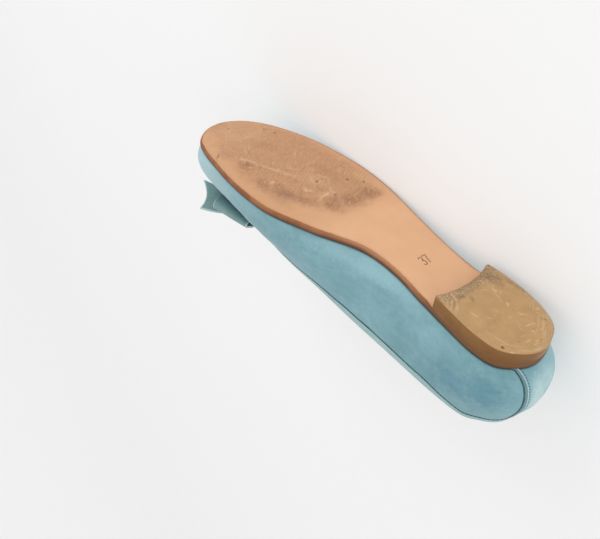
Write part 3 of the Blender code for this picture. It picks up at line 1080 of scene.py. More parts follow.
@dataclass(frozen=True)
class SoleLeather:
    """Smooth sole leather, clean at the waist, scuffed under the ball of the foot, burnished at the edge."""

    name: str = "sole_leather_scuffed"
    clean: Colour = (0.692, 0.402, 0.23)
    fore: Colour = (0.575, 0.317, 0.168)
    worn: Colour = (0.468, 0.25, 0.132)
    smudge: Colour = (0.255, 0.128, 0.07)
    plum: Colour = (0.25, 0.12, 0.088)
    light: Colour = (0.7, 0.44, 0.27)
    burnt: Colour = (0.23, 0.078, 0.03)
    burnt_warm: Colour = (0.31, 0.125, 0.055)
    waist_edge: Colour = (0.37, 0.174, 0.082)
    seat_edge: Colour = (0.162, 0.07, 0.024)
    upper_edge: Colour = (0.06, 0.028, 0.014)
    pit: Colour = (0.2, 0.1, 0.062)
    smudges: Marks = flat_marks(
        (134, -3, 6, 5, 20, 0.5), (131, 9, 6.5, 6.5, 0, 0.66), (130, 19, 6.5, 5.5, -10, 0.6),
        (126, 8, 5, 14, 0, 0.14), (158, -21, 15, 6, 6, 0.26), (150, -15, 9, 5, -15, 0.26), (240, -3, 5, 10, 0, 0.14),
        (127, 24, 3.5, 2.5, 0, 0.5), (145, -13, 9, 4, -18, 0.46), (170, -21, 8, 4, 15, 0.45),
        (191, -17, 6, 5, 0, 0.5), (180, -8, 14, 4, -22, 0.22), (158, 14, 13, 6, 10, 0.2), (205, 4, 16, 5, -20, 0.2),
        (208, -20, 8, 4, 12, 0.22), (228, 6, 9, 8, 0, 0.16),
    )  # fmt: skip
    plums: Marks = flat_marks(
        (156, -17, 7, 4, -12, 0.62), (136, 2, 4, 3, 0, 0.35), (164, -15, 7, 2.5, -8, 0.35),
    )  # fmt: skip
    lights: Marks = flat_marks(
        (179, -8, 21, 1.2, -21, 0.55), (143, 0, 3, 6, 12, 0.35), (151, -5, 2.8, 1.2, -20, 0.6),
        (168, -16, 2, 1.4, 30, 0.65), (196, -14, 3, 1, -15, 0.6), (158, 4, 9, 5, 0, 0.28), (143, 27, 8, 3, 0, 0.45),
        (229, -12, 6, 4, 30, 0.3), (227, 3, 20, 17, 0, 0.3),
    )  # fmt: skip
    pits: Marks = flat_marks(
        (146.5, 19.5, 1.2, 0.9, 0, 0.95), (139.5, 25.5, 1.3, 0.9, 20, 0.9), (155, 4.5, 1.6, 1, 30, 0.8),
        (139.5, 4, 1.4, 0.8, 0, 0.7), (211.5, 19.5, 1.2, 0.9, 0, 0.85), (219, 17, 1.2, 0.7, 30, 0.7),
        (234, 1, 1.1, 0.8, 0, 0.7), (243, 2, 0.9, 1, 0, 0.7), (209.6, -23.6, 3.2, 0.5, 48, 0.75),
        (176, 25, 1.2, 0.7, 0, 0.5),
    )  # fmt: skip

    def build(self, shop: Workshop) -> Material:
        """Makes the material in a workshop.

        Args:
            shop: the workshop that has the effects.

        Returns:
            The material.
        """
        w, vector = shop.start(self.name, 0.55, 0.22)
        edge, lift = w.attribute("edge"), w.attribute("lift")
        station = w.part(vector, 0)
        tread = w.span(w.plus(w.attribute("worn"), w.wobble(vector, 0.16, 0.6, 13.0)), -5.0, 4.0)
        broad = w.effect(Effect.MOTTLE, Size=15.0, Contrast=0.6)
        blotch = w.effect(Effect.MOTTLE, Size=4.5, Contrast=0.7)
        colour = w.mix(w.span(station, 108.0, 150.0), self.clean, self.fore)
        colour = w.mix((broad, 0.22), colour, self.worn)
        colour = w.mix((tread, w.span(blotch, 0.0, 1.0, (0.62, 0.95))), colour, self.worn)
        colour = w.mix((w.marks(self.lights), tread, 0.8), colour, self.light)
        strewn = w.wobble(vector, 0.42, 0.62, 2.2)
        for patches, tone in ((self.smudges, self.smudge), (self.plums, self.plum)):
            dirt = w.marks(patches)
            dirt = w.plus(dirt, w.times(strewn, dirt), clamp=True)
            colour = w.mix((dirt, 0.85), colour, tone)
        scrapes = ((47, 4.0, 0.9, 0.52), (70, 3.0, 0.8, 0.45), (52, 4.5, 0.8, 0.5))
        scrape, cross, drag = (
            w.effect(Effect.SCRATCH, Turn=math.radians(turn), Length=long, Width=wide, Cover=cover)
            for turn, long, wide, cover in scrapes
        )
        dark, drag = w.times(w.math("MAXIMUM", scrape, cross), tread), w.times(drag, tread)
        colour = w.mix((dark, 0.2), colour, self.smudge)
        ribs = w.effect(Effect.RIBS, Turn=math.radians(70), Spacing=2.1, Dash=4.0)
        colour = w.mix((ribs, tread, w.span(station, 222.0, 196.0, (0.35, 1.0)), 0.24), colour, self.smudge)
        colour = w.mix((drag, 0.4), colour, self.light)
        for lines, tone in (("pale_lines", self.light), ("dark_lines", self.smudge)):
            colour = w.mix((w.attribute(lines), 0.75), colour, tone)
        specks = w.effect(Effect.PIT, Spacing=4.2, Size=0.35, Share=0.35)
        colour = w.mix((specks, w.span(tread, 0.0, 1.0, (0.03, 0.3))), colour, self.smudge)
        pits = w.marks(self.pits)
        colour = w.mix((pits, 0.8), colour, self.pit)
        rub = w.effect(Effect.BURNISH, Edge=edge, Width=1.25, Ragged=0.35)
        tone = w.mix(w.span(w.noise(vector, 0.07, 4.0, 0.6), 0.4, 0.64), self.burnt, self.burnt_warm)
        waist = w.times(w.span(station, 62.0, 74.0), w.span(station, 128.0, 104.0))
        tone = w.mix((waist, w.span(lift, 2.0, 0.4)), tone, self.waist_edge)
        tone = w.mix(w.span(station, 64.0, 50.0), tone, self.seat_edge)
        tone = w.mix(w.span(lift, 0.9, 3.3, (0.0, 0.72)), tone, self.upper_edge)
        colour = w.mix((w.span(edge, 3.0, 1.0), 0.25), colour, self.waist_edge)
        colour = w.mix((rub, 0.95), colour, tone)
        height = w.times(w.noise(vector, 1.4, 4.0, 0.6), w.span(tread, 0.0, 1.0, (0.35, 1.0)))
        for mask, lift in ((dark, -0.6), (drag, 0.5), (pits, -1.6)):
            height = w.plus(height, w.times(mask, lift))
        height = w.times(height, w.span(rub, 0.0, 1.0, (1.0, 0.12)))
        rough = w.plus(0.56, w.plus(w.times(tread, 0.2), w.times(rub, 0.06)))
        return w.dress(colour, rough, height, 0.1, 0.8)


@dataclass(frozen=True)
class HeelStack:
    """Smooth brown stacked leather at the sides, a scraped paler face that treads the ground."""

    name: str = "heel_stack_scraped"
    side: Colour = (0.178, 0.078, 0.022)
    side_warm: Colour = (0.255, 0.125, 0.04)
    side_front: Colour = (0.1, 0.044, 0.01)
    side_low: Colour = (0.33, 0.16, 0.052)
    side_back: Colour = (0.375, 0.225, 0.14)
    layer: Colour = (0.17, 0.075, 0.03)
    face: Colour = (0.492, 0.3, 0.14)
    face_deep: Colour = (0.37, 0.222, 0.104)
    face_front: Colour = (0.33, 0.228, 0.135)
    face_rim: Colour = (0.395, 0.275, 0.16)
    dip: Colour = (0.3, 0.19, 0.095)
    scrape: Colour = (0.7, 0.52, 0.3)
    dirt: Colour = (0.15, 0.1, 0.065)
    cut: Colour = (0.215, 0.138, 0.082)
    hole: Colour = (0.115, 0.062, 0.035)
    dirts: Marks = flat_marks(
        (43.5, 18, 6.5, 4.4, 5, 0.58), (48.5, 6, 1.8, 9, 0, 0.35), (44.5, -4.2, 2, 3, 0, 0.35),
        (43.3, -11, 1.6, 3.2, 20, 0.35), (34, 22, 9, 1.3, 4, 0.5), (12, 13.5, 2.2, 1.2, -35, 0.3),
        (49, -2, 1.5, 2, 0, 0.3),
    )  # fmt: skip
    nail: Marks = flat_marks((12.8, -14.5, 0.95, 0.7, 0, 1))

    def build(self, shop: Workshop) -> Material:
        """Makes the material in a workshop.

        Args:
            shop: the workshop that has the effects.

        Returns:
            The material.
        """
        w, vector = shop.start(self.name, 0.5, 0.2)
        station, across, high = (w.part(vector, axis) for axis in range(3))
        face, along, edge, front = (w.attribute(name) for name in ("face", "along", "edge", "front"))
        face = w.span(face, 0.35, 0.65)
        broad = w.effect(Effect.MOTTLE, Size=9.0, Contrast=0.6)
        side = w.mix(broad, self.side, self.side_warm)
        side = w.mix(w.span(station, 42.0, 6.0, (0.0, 0.36)), side, self.side_front)
        side = w.mix((w.span(high, HEEL_HEIGHT, 0.0), 0.42), side, self.side_low)
        side = w.mix((w.span(across, -7.0, 5.0), w.span(station, 14.0, 7.0), 0.9), side, self.side_back)
        layer = w.noise(w.vector("MULTIPLY", vector, (0.03, 0.03, 1.3)), 1.0, 3.0, 0.6)
        side = w.mix((w.span(layer, 0.4, 0.6), 0.2), side, self.layer)

        tread = w.mix((broad, 0.6), self.face, self.face_deep)
        bend = w.times(w.noise(vector, 0.16, 2.0, 0.5), 5.0)
        curved = w.together(w.times(along, 0.13), w.plus(edge, bend))
        arcs = w.span(w.noise(curved, 1.15, 3.0, 0.7), 0.58, 0.65)
        dips = w.span(w.noise(w.vector("ADD", curved, (5.2, 3.1, 0.0)), 1.3, 3.0, 0.7), 0.58, 0.66)
        near_edge = w.times(w.span(edge, 11.0, 1.0), w.span(station, 34.0, 14.0, (0.35, 1.0)))
        ragged = w.wobble(vector, 0.3, 0.65, 8.0)
        band = w.span(w.plus(front, ragged), 9.0, 3.0)
        speckle = w.span(w.noise(vector, 0.8, 3.0, 0.7), 0.44, 0.62)
        dirt, nail = w.marks(self.dirts), w.marks(self.nail)
        rim = w.times(w.span(w.plus(edge, w.times(ragged, 0.5)), 4.2, 0.8), w.span(across, -9.0, 1.0))
        worn = w.math("MAXIMUM", w.math("MAXIMUM", band, dirt), w.times(rim, 0.7))
        crumb = w.span(w.noise(w.vector("ADD", vector, (9.0, 4.0, 0.0)), 1.1, 3.0, 0.7), 0.53, 0.66)
        breaks = w.span(w.noise(vector, 1.4, 2.0, 0.6), 0.36, 0.6, (0.35, 1.0))
        lights = w.times(w.attribute("pale_lines"), breaks)
        for share, tone in (
            ((arcs, near_edge, 0.5), self.scrape),
            ((dips, near_edge, 0.38), self.dip),
            ((band, 0.42), self.face_front),
            ((rim, 0.4), self.face_rim),
            ((band, speckle, 0.5), self.dirt),
            ((dirt, w.span(speckle, 0.0, 1.0, (0.55, 1.1))), self.dirt),
            ((worn, crumb, 0.55), self.scrape),
            ((w.attribute("dark_lines"), 0.75), self.cut),
            ((lights, 0.85), self.scrape),
            ((nail, 0.75), self.hole),
        ):
            tread = w.mix(share, tread, tone)

        height = w.plus(w.times(w.noise(vector, 1.6, 4.0, 0.65), 0.6), w.times(arcs, 0.5))
        for mask, lift in ((w.times(band, speckle), -1.0), (lights, 0.8), (nail, -2.0)):
            height = w.plus(height, w.times(mask, lift))
        height = w.times(height, w.span(face, 0.0, 1.0, (0.12, 1.0)))
        return w.dress(w.mix(face, side, tread), w.span(face, 0.0, 1.0, (0.5, 0.74)), height, 0.2, 0.8)


@dataclass(frozen=True)
class PlainLeather:
    """Thin lining or sock leather with a fine grain."""

    name: str
    base: Colour
    deep: Colour
    grain: float = 0.7
    gloss: float = 0.55
    marks: tuple[Mark, ...] = ()

    def build(self, shop: Workshop) -> Material:
        """Makes the material in a workshop.

        Args:
            shop: the workshop that has the effects.

        Returns:
            The material.
        """
        w, vector = shop.start(self.name, self.gloss, 0.35)
        broad = w.effect(Effect.MOTTLE, Size=14.0, Contrast=0.6)
        pore = w.noise(vector, 1.0 / self.grain, 4.0, 0.6)
        colour = w.mix((broad, 0.5), self.base, self.deep)
        colour = w.mix((w.span(pore, 0.35, 0.65), 0.15), colour, self.deep)
        if self.marks:
            colour = w.mix(w.marks(self.marks), colour, self.deep)
        rough = w.span(pore, 0.3, 0.7, (self.gloss - 0.06, self.gloss + 0.1))
        return w.dress(colour, rough, pore, 0.1, 0.6)


@dataclass(frozen=True)
class DarkLine:
    """Thread, cement or ink, also the painted shade of grooves and crevices: one tone, broken up by fine noise."""

    name: str
    base: Colour
    worn: Colour
    gap: float = 0.5

    def build(self, shop: Workshop) -> Material:
        """Makes the material in a workshop.

        Args:
            shop: the workshop that has the effects.

        Returns:
            The material.
        """
        w, vector = shop.start(self.name, 0.8, 0.2)
        colour = w.mix(w.span(w.noise(vector, self.gap, 4.0, 0.65), 0.42, 0.62), self.base, self.worn)
        fine = w.noise(vector, 3.0, 2.0, 0.6)
        return w.dress(colour, w.span(fine, 0.3, 0.7, (0.7, 0.9)), fine, 0.06, 0.5)


UPPER_SUEDE = Suede(
    name="turquoise_suede_brushed",
    base=(0.19, 0.358, 0.4),
    pale=(0.318, 0.518, 0.572),
    deep=(0.132, 0.278, 0.315),
    cool=(0.092, 0.24, 0.33),
    pale_marks=marks(
        (228, -10, 20, 36, 60, 30, 0, 0.85, 0.35), (205, 30, 20, 50, 30, 30, 0, 0.6, 0.35),
        (195, -34, 6, 50, 16, 15, 0, 0.55, 0.35), (108, -25, 30, 62, 40, 34, 0, 0.2, 0.4),
        (150, -30, 9, 20, 30, 9, 0, 0.26, 0.5), (66, -15, 12, 18, 40, 6, 0, 0.36, 0.5),
        (88, -15, 11, 24, 40, 6.5, 0, 0.66, 0.5), (112, -15, 9, 22, 40, 6.5, 0, 0.52, 0.5),
        # The first patch below is painted light on the lateral back of the heel
        (2, 12, 25, 16, 20, 34, 0, 0.8, 0.3), (45, -20, 20, 10, 30, 10, 0, 0.3, 0.6),
    ),  # fmt: skip
    deep_marks=marks(
        (98, -20, 26, 14, 30, 9, 0, 0.55, 0.6), (41, -20, 25, 9, 30, 8, 0, 0.5, 0.6),
        (176, -30, 14, 20, 30, 6, 0, 0.4, 0.6), (76, -20, 20, 20, 30, 8, 0, 0.35, 0.6),
        (62, -22, 38, 9, 30, 12, 0, 0.35, 0.6), (10, -16, 22, 8, 14, 20, 0, 0.25, 0.5),
        (1, 3, 12, 9, 14, 3.4, 0, 0.7, 0.5),
    ),  # fmt: skip
    cool_marks=marks(
        (13, -21, 26, 11, 30, 9, 0, 0.5, 0.7), (28, -22, 31, 12, 30, 8, 0, 0.5, 0.7),
        (41, -22, 40, 11, 30, 7, 0, 0.3, 0.7),
    ),  # fmt: skip
    # Painted highlights: sheen on the lateral back of the heel and on the medial toe
    bright_marks=marks(
        (-4, -2, 27, 9, 5, 15, 0, 0.6, 0.3), (-3, 4, 20, 7, 8, 7, 0, 0.4, 0.4),
        (220, -28, 13, 34, 30, 13, 0, 0.3, 0.4),
    ),  # fmt: skip
    touches_sole=True,
)
BINDING_SUEDE = Suede(
    name="topline_suede",
    base=(0.335, 0.485, 0.485),
    pale=(0.45, 0.6, 0.595),
    deep=(0.255, 0.395, 0.4),
    cool=(0.25, 0.4, 0.43),
)
STRIP_SUEDE = Suede(
    name="back_strip_suede",
    base=(0.15, 0.25, 0.265),
    pale=(0.27, 0.38, 0.395),
    deep=(0.105, 0.2, 0.215),
    cool=(0.11, 0.22, 0.255),
)
# A pale suede for the back strip's raised edge, which paints its highlight
HIGHLIGHT_BEAD_SUEDE = Suede(
    name="back_bead_suede",
    base=(0.44, 0.62, 0.66),
    pale=(0.52, 0.69, 0.72),
    deep=(0.33, 0.51, 0.55),
    cool=(0.33, 0.52, 0.58),
)
BOW_SUEDE = Suede(
    name="bow_suede_greyed",
    base=(0.205, 0.328, 0.325),
    pale=(0.275, 0.405, 0.405),
    deep=(0.152, 0.262, 0.268),
    cool=(0.12, 0.27, 0.32),
    ribbon=True,
)
LINING_LEATHER = PlainLeather(name="lining_leather", base=(0.6, 0.465, 0.33), deep=(0.5, 0.365, 0.245))
SOCK_LEATHER = PlainLeather(
    name="sock_leather_pressed",
    base=(0.565, 0.43, 0.3),
    deep=(0.38, 0.265, 0.17),
    grain=0.9,
    gloss=0.5,
    marks=flat_marks((24, 1, 15, 12, 0, 0.5), (160, -10, 22, 14, 10, 0.4), (165, 14, 20, 12, -8, 0.35)),
)
# Dark teal for the stitches, and for the dark lines that paint the shade of the seams' grooves
TEAL_THREAD_AND_SHADE = DarkLine(name="teal_thread", base=(0.022, 0.08, 0.09), worn=(0.05, 0.145, 0.158))
# Near-black cement that also paints the shade of the crevice between sole and upper
SOLE_CEMENT_AND_SHADE = DarkLine(name="sole_cement", base=(0.018, 0.012, 0.01), worn=(0.05, 0.03, 0.022))
STAMP_INK = DarkLine(name="stamped_number", base=(0.165, 0.08, 0.045), worn=(0.34, 0.18, 0.105), gap=1.2)


@dataclass(frozen=True)
class StudioPaper:
    """The pale floor that curves up into the background."""

    name: str = "studio_paper"
    base: Colour = (0.63, 0.63, 0.63)
    dim: Colour = (0.6, 0.6, 0.6)
    glow: float = 0.31

    def build(self, shop: Workshop) -> Material:
        """Makes the material in a workshop.

        Args:
            shop: the workshop that has the effects.

        Returns:
            The material.
        """
        w, vector = shop.start(self.name, 0.95, 0.1)
        w.put(w.shader["Emission Strength"], self.glow)
        w.put(w.shader["Emission Color"], (1.0, 1.0, 1.0))
        w.put(w.shader["Base Color"], w.mix((w.noise(vector, 0.004, 2.0, 0.5), 0.2), self.base, self.dim))
        return w.made


# ---- pieces ----


@dataclass
class Outsole:
    """The flat leather sole with its rounded, burnished edge."""

    last: Last
    columns: int = 720
    rows: int = 106
    wave: float = 0.1
    # Each ring of the edge, how far in from the outline and how far up from the underside
    edge: Rows = (
        (1.5, 0), (1.1, 0.05), (0.72, 0.2), (0.4, 0.45), (0.14, 0.85), (0.02, 1.4), (0, 2.2), (0.06, 2.8), (0.3, 3.2),
        (0.8, 3.4), (3, 3.4),
    )  # fmt: skip
    # The border of the area that treads the ground
    worn_border: Rows = (
        (127, -3), (134, -9), (143, -14), (152, -19), (165, -24.5), (185, -24), (205, -19.5), (224, -15.5),
        (236, -9), (243, -1), (241, 9), (232, 17), (219, 23), (200, 27), (175, 29.5), (155, 29.5), (140, 28.5),
        (128, 26.5), (125.5, 16), (127, 6),
    )  # fmt: skip
    # Scratches: half width, strength, then x and y of each point along them
    pale_lines: Rows = (
        (0.6, 0.9, 140.6, -6.2, 142.2, -3.5, 142.4, -0.5, 142.6, 2.2, 143.8, 4.6, 146.2, 6.8),
        (0.5, 0.8, 139.4, 2.8, 141.6, 4.6, 143.2, 5.6), (0.6, 0.7, 150.6, -6.8, 152.6, -6.2, 154.6, -4.4),
        (0.9, 0.5, 149.5, 8.4, 153.6, 11.4, 158.4, 9.4, 160.2, 10.2), (0.6, 0.5, 156, 1.6, 158.4, 3.2, 160, 4.6),
        (0.7, 0.9, 168.8, -17.6, 169.2, -15.6, 168.4, -14.4), (0.7, 0.5, 154.6, 20.6, 156.8, 23.6),
        (0.6, 0.5, 163.6, 8.6, 166.4, 11.6), (0.6, 0.5, 170.2, 14.4, 172.4, 17.8), (0.5, 0.6, 180.6, 14.4, 184, 18.2),
        (0.5, 0.6, 181.2, 9.8, 186.6, 15.4), (0.7, 0.5, 170.4, 4.4, 172.4, 1.6, 175.6, 1),
        (0.8, 0.45, 163, 1, 168.2, -2.4, 174.6, -4.6, 181.4, -8.2, 187.6, -9.8),
        (0.6, 0.8, 190.8, -10.4, 191.8, -11.8, 194.2, -12.4, 195.8, -13.4),
        (0.6, 0.8, 197.4, -15.6, 199, -14.8, 200.2, -13.8), (0.5, 0.5, 193.4, -16.6, 196.6, -14),
        (0.6, 0.6, 187.4, -15.6, 188.8, -17.8), (0.5, 0.5, 200.8, -9.8, 204.4, -7.8, 207.8, -6.4),
        (0.6, 0.5, 216.6, 3.6, 218, 2.6, 217.4, 1.2), (0.4, 0.5, 130.2, 20.4, 133.4, 22.6),
        (0.4, 0.5, 130, 16.2, 132.6, 18.2), (0.4, 0.4, 131, 10.6, 134, 12.8),
    )  # fmt: skip
    dark_lines: Rows = (
        (0.5, 0.5, 149.6, -11.6, 151.6, -9.6, 154, -7.2), (0.5, 0.5, 141.2, -9, 143.6, -7.6),
        (0.5, 0.6, 131.4, 20.2, 133, 21.6, 135.2, 22.6), (0.5, 0.5, 130, 22, 131.4, 23.4),
        (0.6, 0.6, 130.6, 15.4, 132.4, 17.8), (0.6, 0.6, 129, 14.6, 129.6, 12.8),
        (0.7, 0.7, 134.4, -5.6, 135.8, -4.2), (0.7, 0.7, 138.6, 3, 140.2, 4.2), (0.5, 0.6, 142.6, 2.8, 144, 3.2),
        (0.4, 0.6, 142, -5, 142.6, -6.6), (0.5, 0.4, 143.2, -2.4, 144.2, -1.4),
        (0.9, 0.4, 145, 1.2, 148, 0.4, 152, 2), (0.5, 0.6, 168, -13.8, 169.2, -13.2),
        (0.7, 0.35, 160.8, -5.8, 164.4, -3), (0.7, 0.35, 166.6, -6.4, 167.8, -3.2),
        (0.8, 0.4, 173, -2.4, 174.8, -1.2), (0.5, 0.4, 180.8, 15.8, 183.8, 18.6),
        (0.6, 0.4, 182.2, 12.4, 184.6, 14.8), (0.7, 0.4, 182, -15, 184.4, -12, 186.2, -11.6),
        (0.6, 0.5, 189.8, -17.8, 192.2, -15.2, 195, -14.8), (0.7, 0.4, 200.2, -8.6, 202, -6.8),
        (0.45, 0.9, 208.4, -25, 209.4, -23.8, 211, -22.2), (0.4, 0.5, 203.8, -28.2, 206.6, -26.6, 208.6, -25.2),
    )  # fmt: skip
    # Dents: x, y, half length, half width, turn in degrees, depth
    dents: Rows = (
        (146.5, 19.5, 1.3, 1, 0, 0.35), (139.5, 25.5, 1.4, 1, 20, 0.35), (155, 4.5, 1.8, 1.1, 30, 0.3),
        (211.5, 19.5, 1.3, 1, 0, 0.3), (219, 17, 1.3, 0.9, 30, 0.25), (209, -24.8, 3.4, 0.7, 48, 0.35),
        (143, 0, 1.2, 6, 12, -0.12), (133, -5, 5, 4, 0, 0.12), (131, 9, 5, 5, 0, 0.14), (130, 21, 5, 4, 0, 0.14),
        (170, -18, 6, 3, 12, 0.1), (190, -17, 4, 3, 0, 0.1), (179, -8, 19, 1.3, -21, -0.1),
    )  # fmt: skip

    def relief(self, flat: Array, worn: Array) -> Array:
        """How far the tread side is pressed in.

        Args:
            flat: places that end in (x, y).
            worn: how far inside the worn area each one is.

        Returns:
            Heights, more than 0 into the sole.
        """
        tread = ease((worn + 3.0) / 6.0)
        fine = 0.07 * noise_table(flat, 3.2, 7.7) + 0.04 * noise_table(flat, 1.5, 4.1)
        return 0.1 * noise_table(flat, 16.0, 1.3) + tread * fine + dented(self.dents, flat)

    def build(self, shoe: ShoeFrame, finish: Material) -> Piece:
        """Models the tread side in strips, then the sole's edge ring by ring, then its inner side.

        Args:
            shoe: the shoe's frame.
            finish: the leather.

        Returns:
            The piece.
        """
        last, ring = self.last, self.last.ring(self.columns)
        outline = last.outline(ring)
        wobble = self.wave * noise_table(outline, 7.0, 2.2)
        square = 0.1 + 0.9 * ease((outline[:, 0] - 46.0) / 12.0)
        flats = [
            last.outline(ring, inset * (square if lift < 2.0 else 1.0) + wobble * (inset < 1.3))
            for inset, lift in self.edge
        ]
        bottom = strips(flats[0], self.rows)
        border = smooth_run(self.worn_border, 600, loop=True)
        worn = distance_to(border, bottom) * np.where(inside(border, bottom), 1.0, -1.0)
        edge = distance_to(outline, bottom)
        values = {"edge": edge, "worn": worn, "lift": np.zeros_like(edge)}
        values["pale_lines"], values["dark_lines"] = drawn(self.pale_lines, bottom), drawn(self.dark_lines, bottom)
        tread = sheet(last.lifted(bottom, ease((edge - 1.5) / 2.0) * self.relief(bottom, worn)), values)
        walls = [last.lifted(flat, lift) for flat, (_, lift) in zip(flats, self.edge)]
        insets, lifts = (np.outer(column, np.ones(len(outline) + 1)) for column in np.transpose(self.edge))
        values = {"edge": np.where(lifts < 1.0, insets, 0.0), "worn": np.full_like(lifts, -20.0), "lift": lifts}
        side = sheet(closed(np.array(walls), 1), values)
        bm = joined([tread, side, sheet(strips(walls[-1], 1))], weld=2e-3)
        return shoe.place("outsole_leather", bm, finish, Slot.SOLE, ["outsole"], sharp=60)


@dataclass
class Heel:
    """The low stacked heel with its hollow front."""

    last: Last
    half_steps: int = 190
    breast_steps: int = 160
    # The station that the face's curved wear turns about
    turning: float = 34.0
    # How much each ring of the walls looks like the worn face
    face_shares: tuple[float, ...] = (1.0, 1.0, 0.75, 0.0, 0.0, 0.0, 0.0)
    # Scratches: half width, strength, then x and y of each point along them
    pale_lines: Rows = (
        (0.34, 0.9, 18.2, 10.6, 19.3, 9.2, 20.2, 8.2, 21.6, 7.9), (0.5, 0.8, 27.2, 8, 28.2, 9, 29, 9.6),
        (0.24, 0.7, 30.2, 7.9, 33, 9, 36, 10.2, 38, 11.2), (0.4, 1, 36.8, 12.6, 37.8, 11.6, 38.6, 10.8),
        (0.4, 0.8, 36.6, 11, 38, 11.8, 39.4, 12), (0.28, 0.7, 39.8, 9.4, 41, 7.4, 42.2, 5.6),
        (0.55, 0.8, 31.2, -8.4, 32.6, -8.7, 34.6, -9), (0.4, 1, 50.2, -5, 47.6, -6.4, 45.3, -7.2, 44, -8.2),
        (0.3, 0.8, 44, -8.2, 42.4, -9.5, 40.8, -10.8, 39.2, -12.2), (0.34, 0.9, 13, 8.4, 13.7, 6.2, 14.4, 3.8),
        (0.5, 1, 10.2, 4, 10.8, 3.8), (0.7, 0.7, 17.6, 18, 17.9, 16.2), (0.28, 0.6, 8.4, 7.6, 11, 11.8, 13.8, 16),
        (0.26, 0.7, 6.6, 5.2, 8.6, 8.6, 11, 12.8), (0.26, 0.5, 9.8, 6.2, 12.4, 10.4, 15.2, 14.2),
        (0.3, 0.7, 5.2, 3.6, 6.6, 7, 8.6, 10.6), (0.3, 0.5, 8.9, 2.4, 9.7, 5.6, 11, 8.2), (0.6, 0.6, 8.6, 7, 9.2, 8),
        (0.55, 0.8, 2.3, -0.8, 2.7, -3.4, 3.4, -5.8), (0.5, 0.4, 3.8, -6.6, 5.4, -8.6, 7.6, -10.6),
        (0.35, 0.7, 4.8, -0.2, 5.3, -2.8), (0.4, 0.9, 6, 0.8, 5.7, -0.8), (0.5, 0.5, 8, -0.8, 8.5, -4.6),
        (0.35, 0.5, 11.2, -1.2, 11.7, -3.4), (0.3, 0.8, 6.2, -12.6, 7.2, -11.2),
        (0.6, 0.35, 8.6, -8.4, 12.6, -11.6, 17.8, -12.4, 23, -13.2), (0.3, 0.6, 13.2, -12.4, 14.6, -13.8),
        (0.5, 0.4, 21.7, 3.4, 22.4, 1.8), (0.5, 0.4, 27.8, 1.9, 28.6, 0.8), (0.5, 0.4, 26.4, -1.4, 27.4, -2.2),
        (0.4, 0.4, 26, -4, 29.4, -5.8), (0.28, 0.5, 18.6, 15, 20.8, 18, 22.8, 20.6),
        (0.28, 0.5, 20.6, 15.4, 22.6, 18.4), (0.24, 0.4, 14.8, 1.8, 19.6, 3.4), (0.24, 0.4, 13.6, 0.6, 16.8, 1.2),
        (0.28, 0.7, 38.4, -14.8, 40.2, -12.4, 41.6, -10), (0.3, 0.8, 41.6, -14.6, 43.8, -11.4, 46.2, -8.4),
        (0.28, 0.7, 43.2, -15, 45.2, -12.6, 47, -10.4), (0.3, 0.9, 46.4, -14.7, 48.4, -14.2, 50.8, -14.4),
        (0.3, 0.9, 46.2, -13.3, 48.2, -12.6, 50.2, -11.8), (0.3, 0.8, 46.8, -11.6, 48.8, -10.6, 50.6, -10.4),
        (0.35, 0.7, 47.8, -9.4, 49.6, -8.4), (0.4, 0.6, 46.6, -3.6, 49, -4.2), (0.35, 0.6, 45, -2, 46.6, -0.8),
        (0.4, 0.5, 39.6, 13, 41.2, 14.6), (0.5, 0.5, 34.6, 12.6, 36.6, 14.2), (0.35, 0.5, 43.6, 10.6, 45.4, 12.4),
        (0.4, 0.5, 44, 20, 47.2, 21.8), (0.35, 0.5, 49.4, 13.8, 50.4, 16.2), (0.35, 0.5, 30, 20.8, 31.4, 22.4),
        (0.35, 0.5, 26, 21, 28.6, 21.4), (0.3, 0.6, 10.4, 14.8, 13, 17), (0.3, 0.6, 15.4, 15.4, 16.6, 14.6),
    )  # fmt: skip
    dark_lines: Rows = (
        (0.8, 0.8, 38.6, -2.4, 40, -1.4, 41.6, -0.6), (0.45, 0.9, 42.6, -10.8, 43.4, -9.6, 44.4, -8.8),
        (0.4, 0.7, 41.2, -13.2, 42.6, -11.2), (0.5, 0.6, 45.8, -9.2, 47.2, -8.2),
        (0.7, 0.7, 43.9, -2.4, 44.4, -5, 43.6, -7), (0.35, 0.6, 46.4, -12.4, 48.6, -11.6),
        (0.35, 0.6, 46.8, -14, 49.4, -13.4), (0.7, 0.7, 47, 12.6, 47.4, 14.8),
        (0.8, 0.5, 48.2, 9.8, 48.6, 4, 48.4, 0.6), (0.9, 0.8, 45.4, 17, 46.4, 19.4), (1, 0.7, 40, 20.6, 42.6, 19.6),
        (0.7, 0.5, 37.4, 16.4, 38.2, 18), (0.6, 0.5, 35.6, 21, 38.8, 21.6), (0.6, 0.6, 28, 22.6, 33, 23),
        (0.35, 0.4, 7.4, 8.8, 9, 12), (0.5, 0.6, 11.6, 14, 13.2, 13.6), (0.4, 0.5, 10.2, 14, 11.4, 14.4),
        (0.35, 0.7, 10.9, 5, 11.8, 5), (0.35, 0.7, 4.6, 1.4, 5.3, 2.6), (0.3, 0.6, 5.3, 0, 5.9, -0.9),
        (0.3, 0.4, 13.4, 9.4, 14.8, 11.2), (0.3, 0.35, 28.2, 12.4, 29.2, 10.2, 30.8, 9.2),
        (0.4, 0.5, 35.6, 15, 36.8, 13), (0.35, 0.5, 9.8, -5.6, 10.8, -7.2),
    )  # fmt: skip
    # Each ring of the walls, how far in from the outline and how far up from the face
    edge: Rows = (
        (0.75, 0), (0.4, 0.06), (0.14, 0.24), (0, 0.6), (-0.05, 2.5), (0, 4.6), (0.05, HEEL_HEIGHT - 0.12),
    )  # fmt: skip
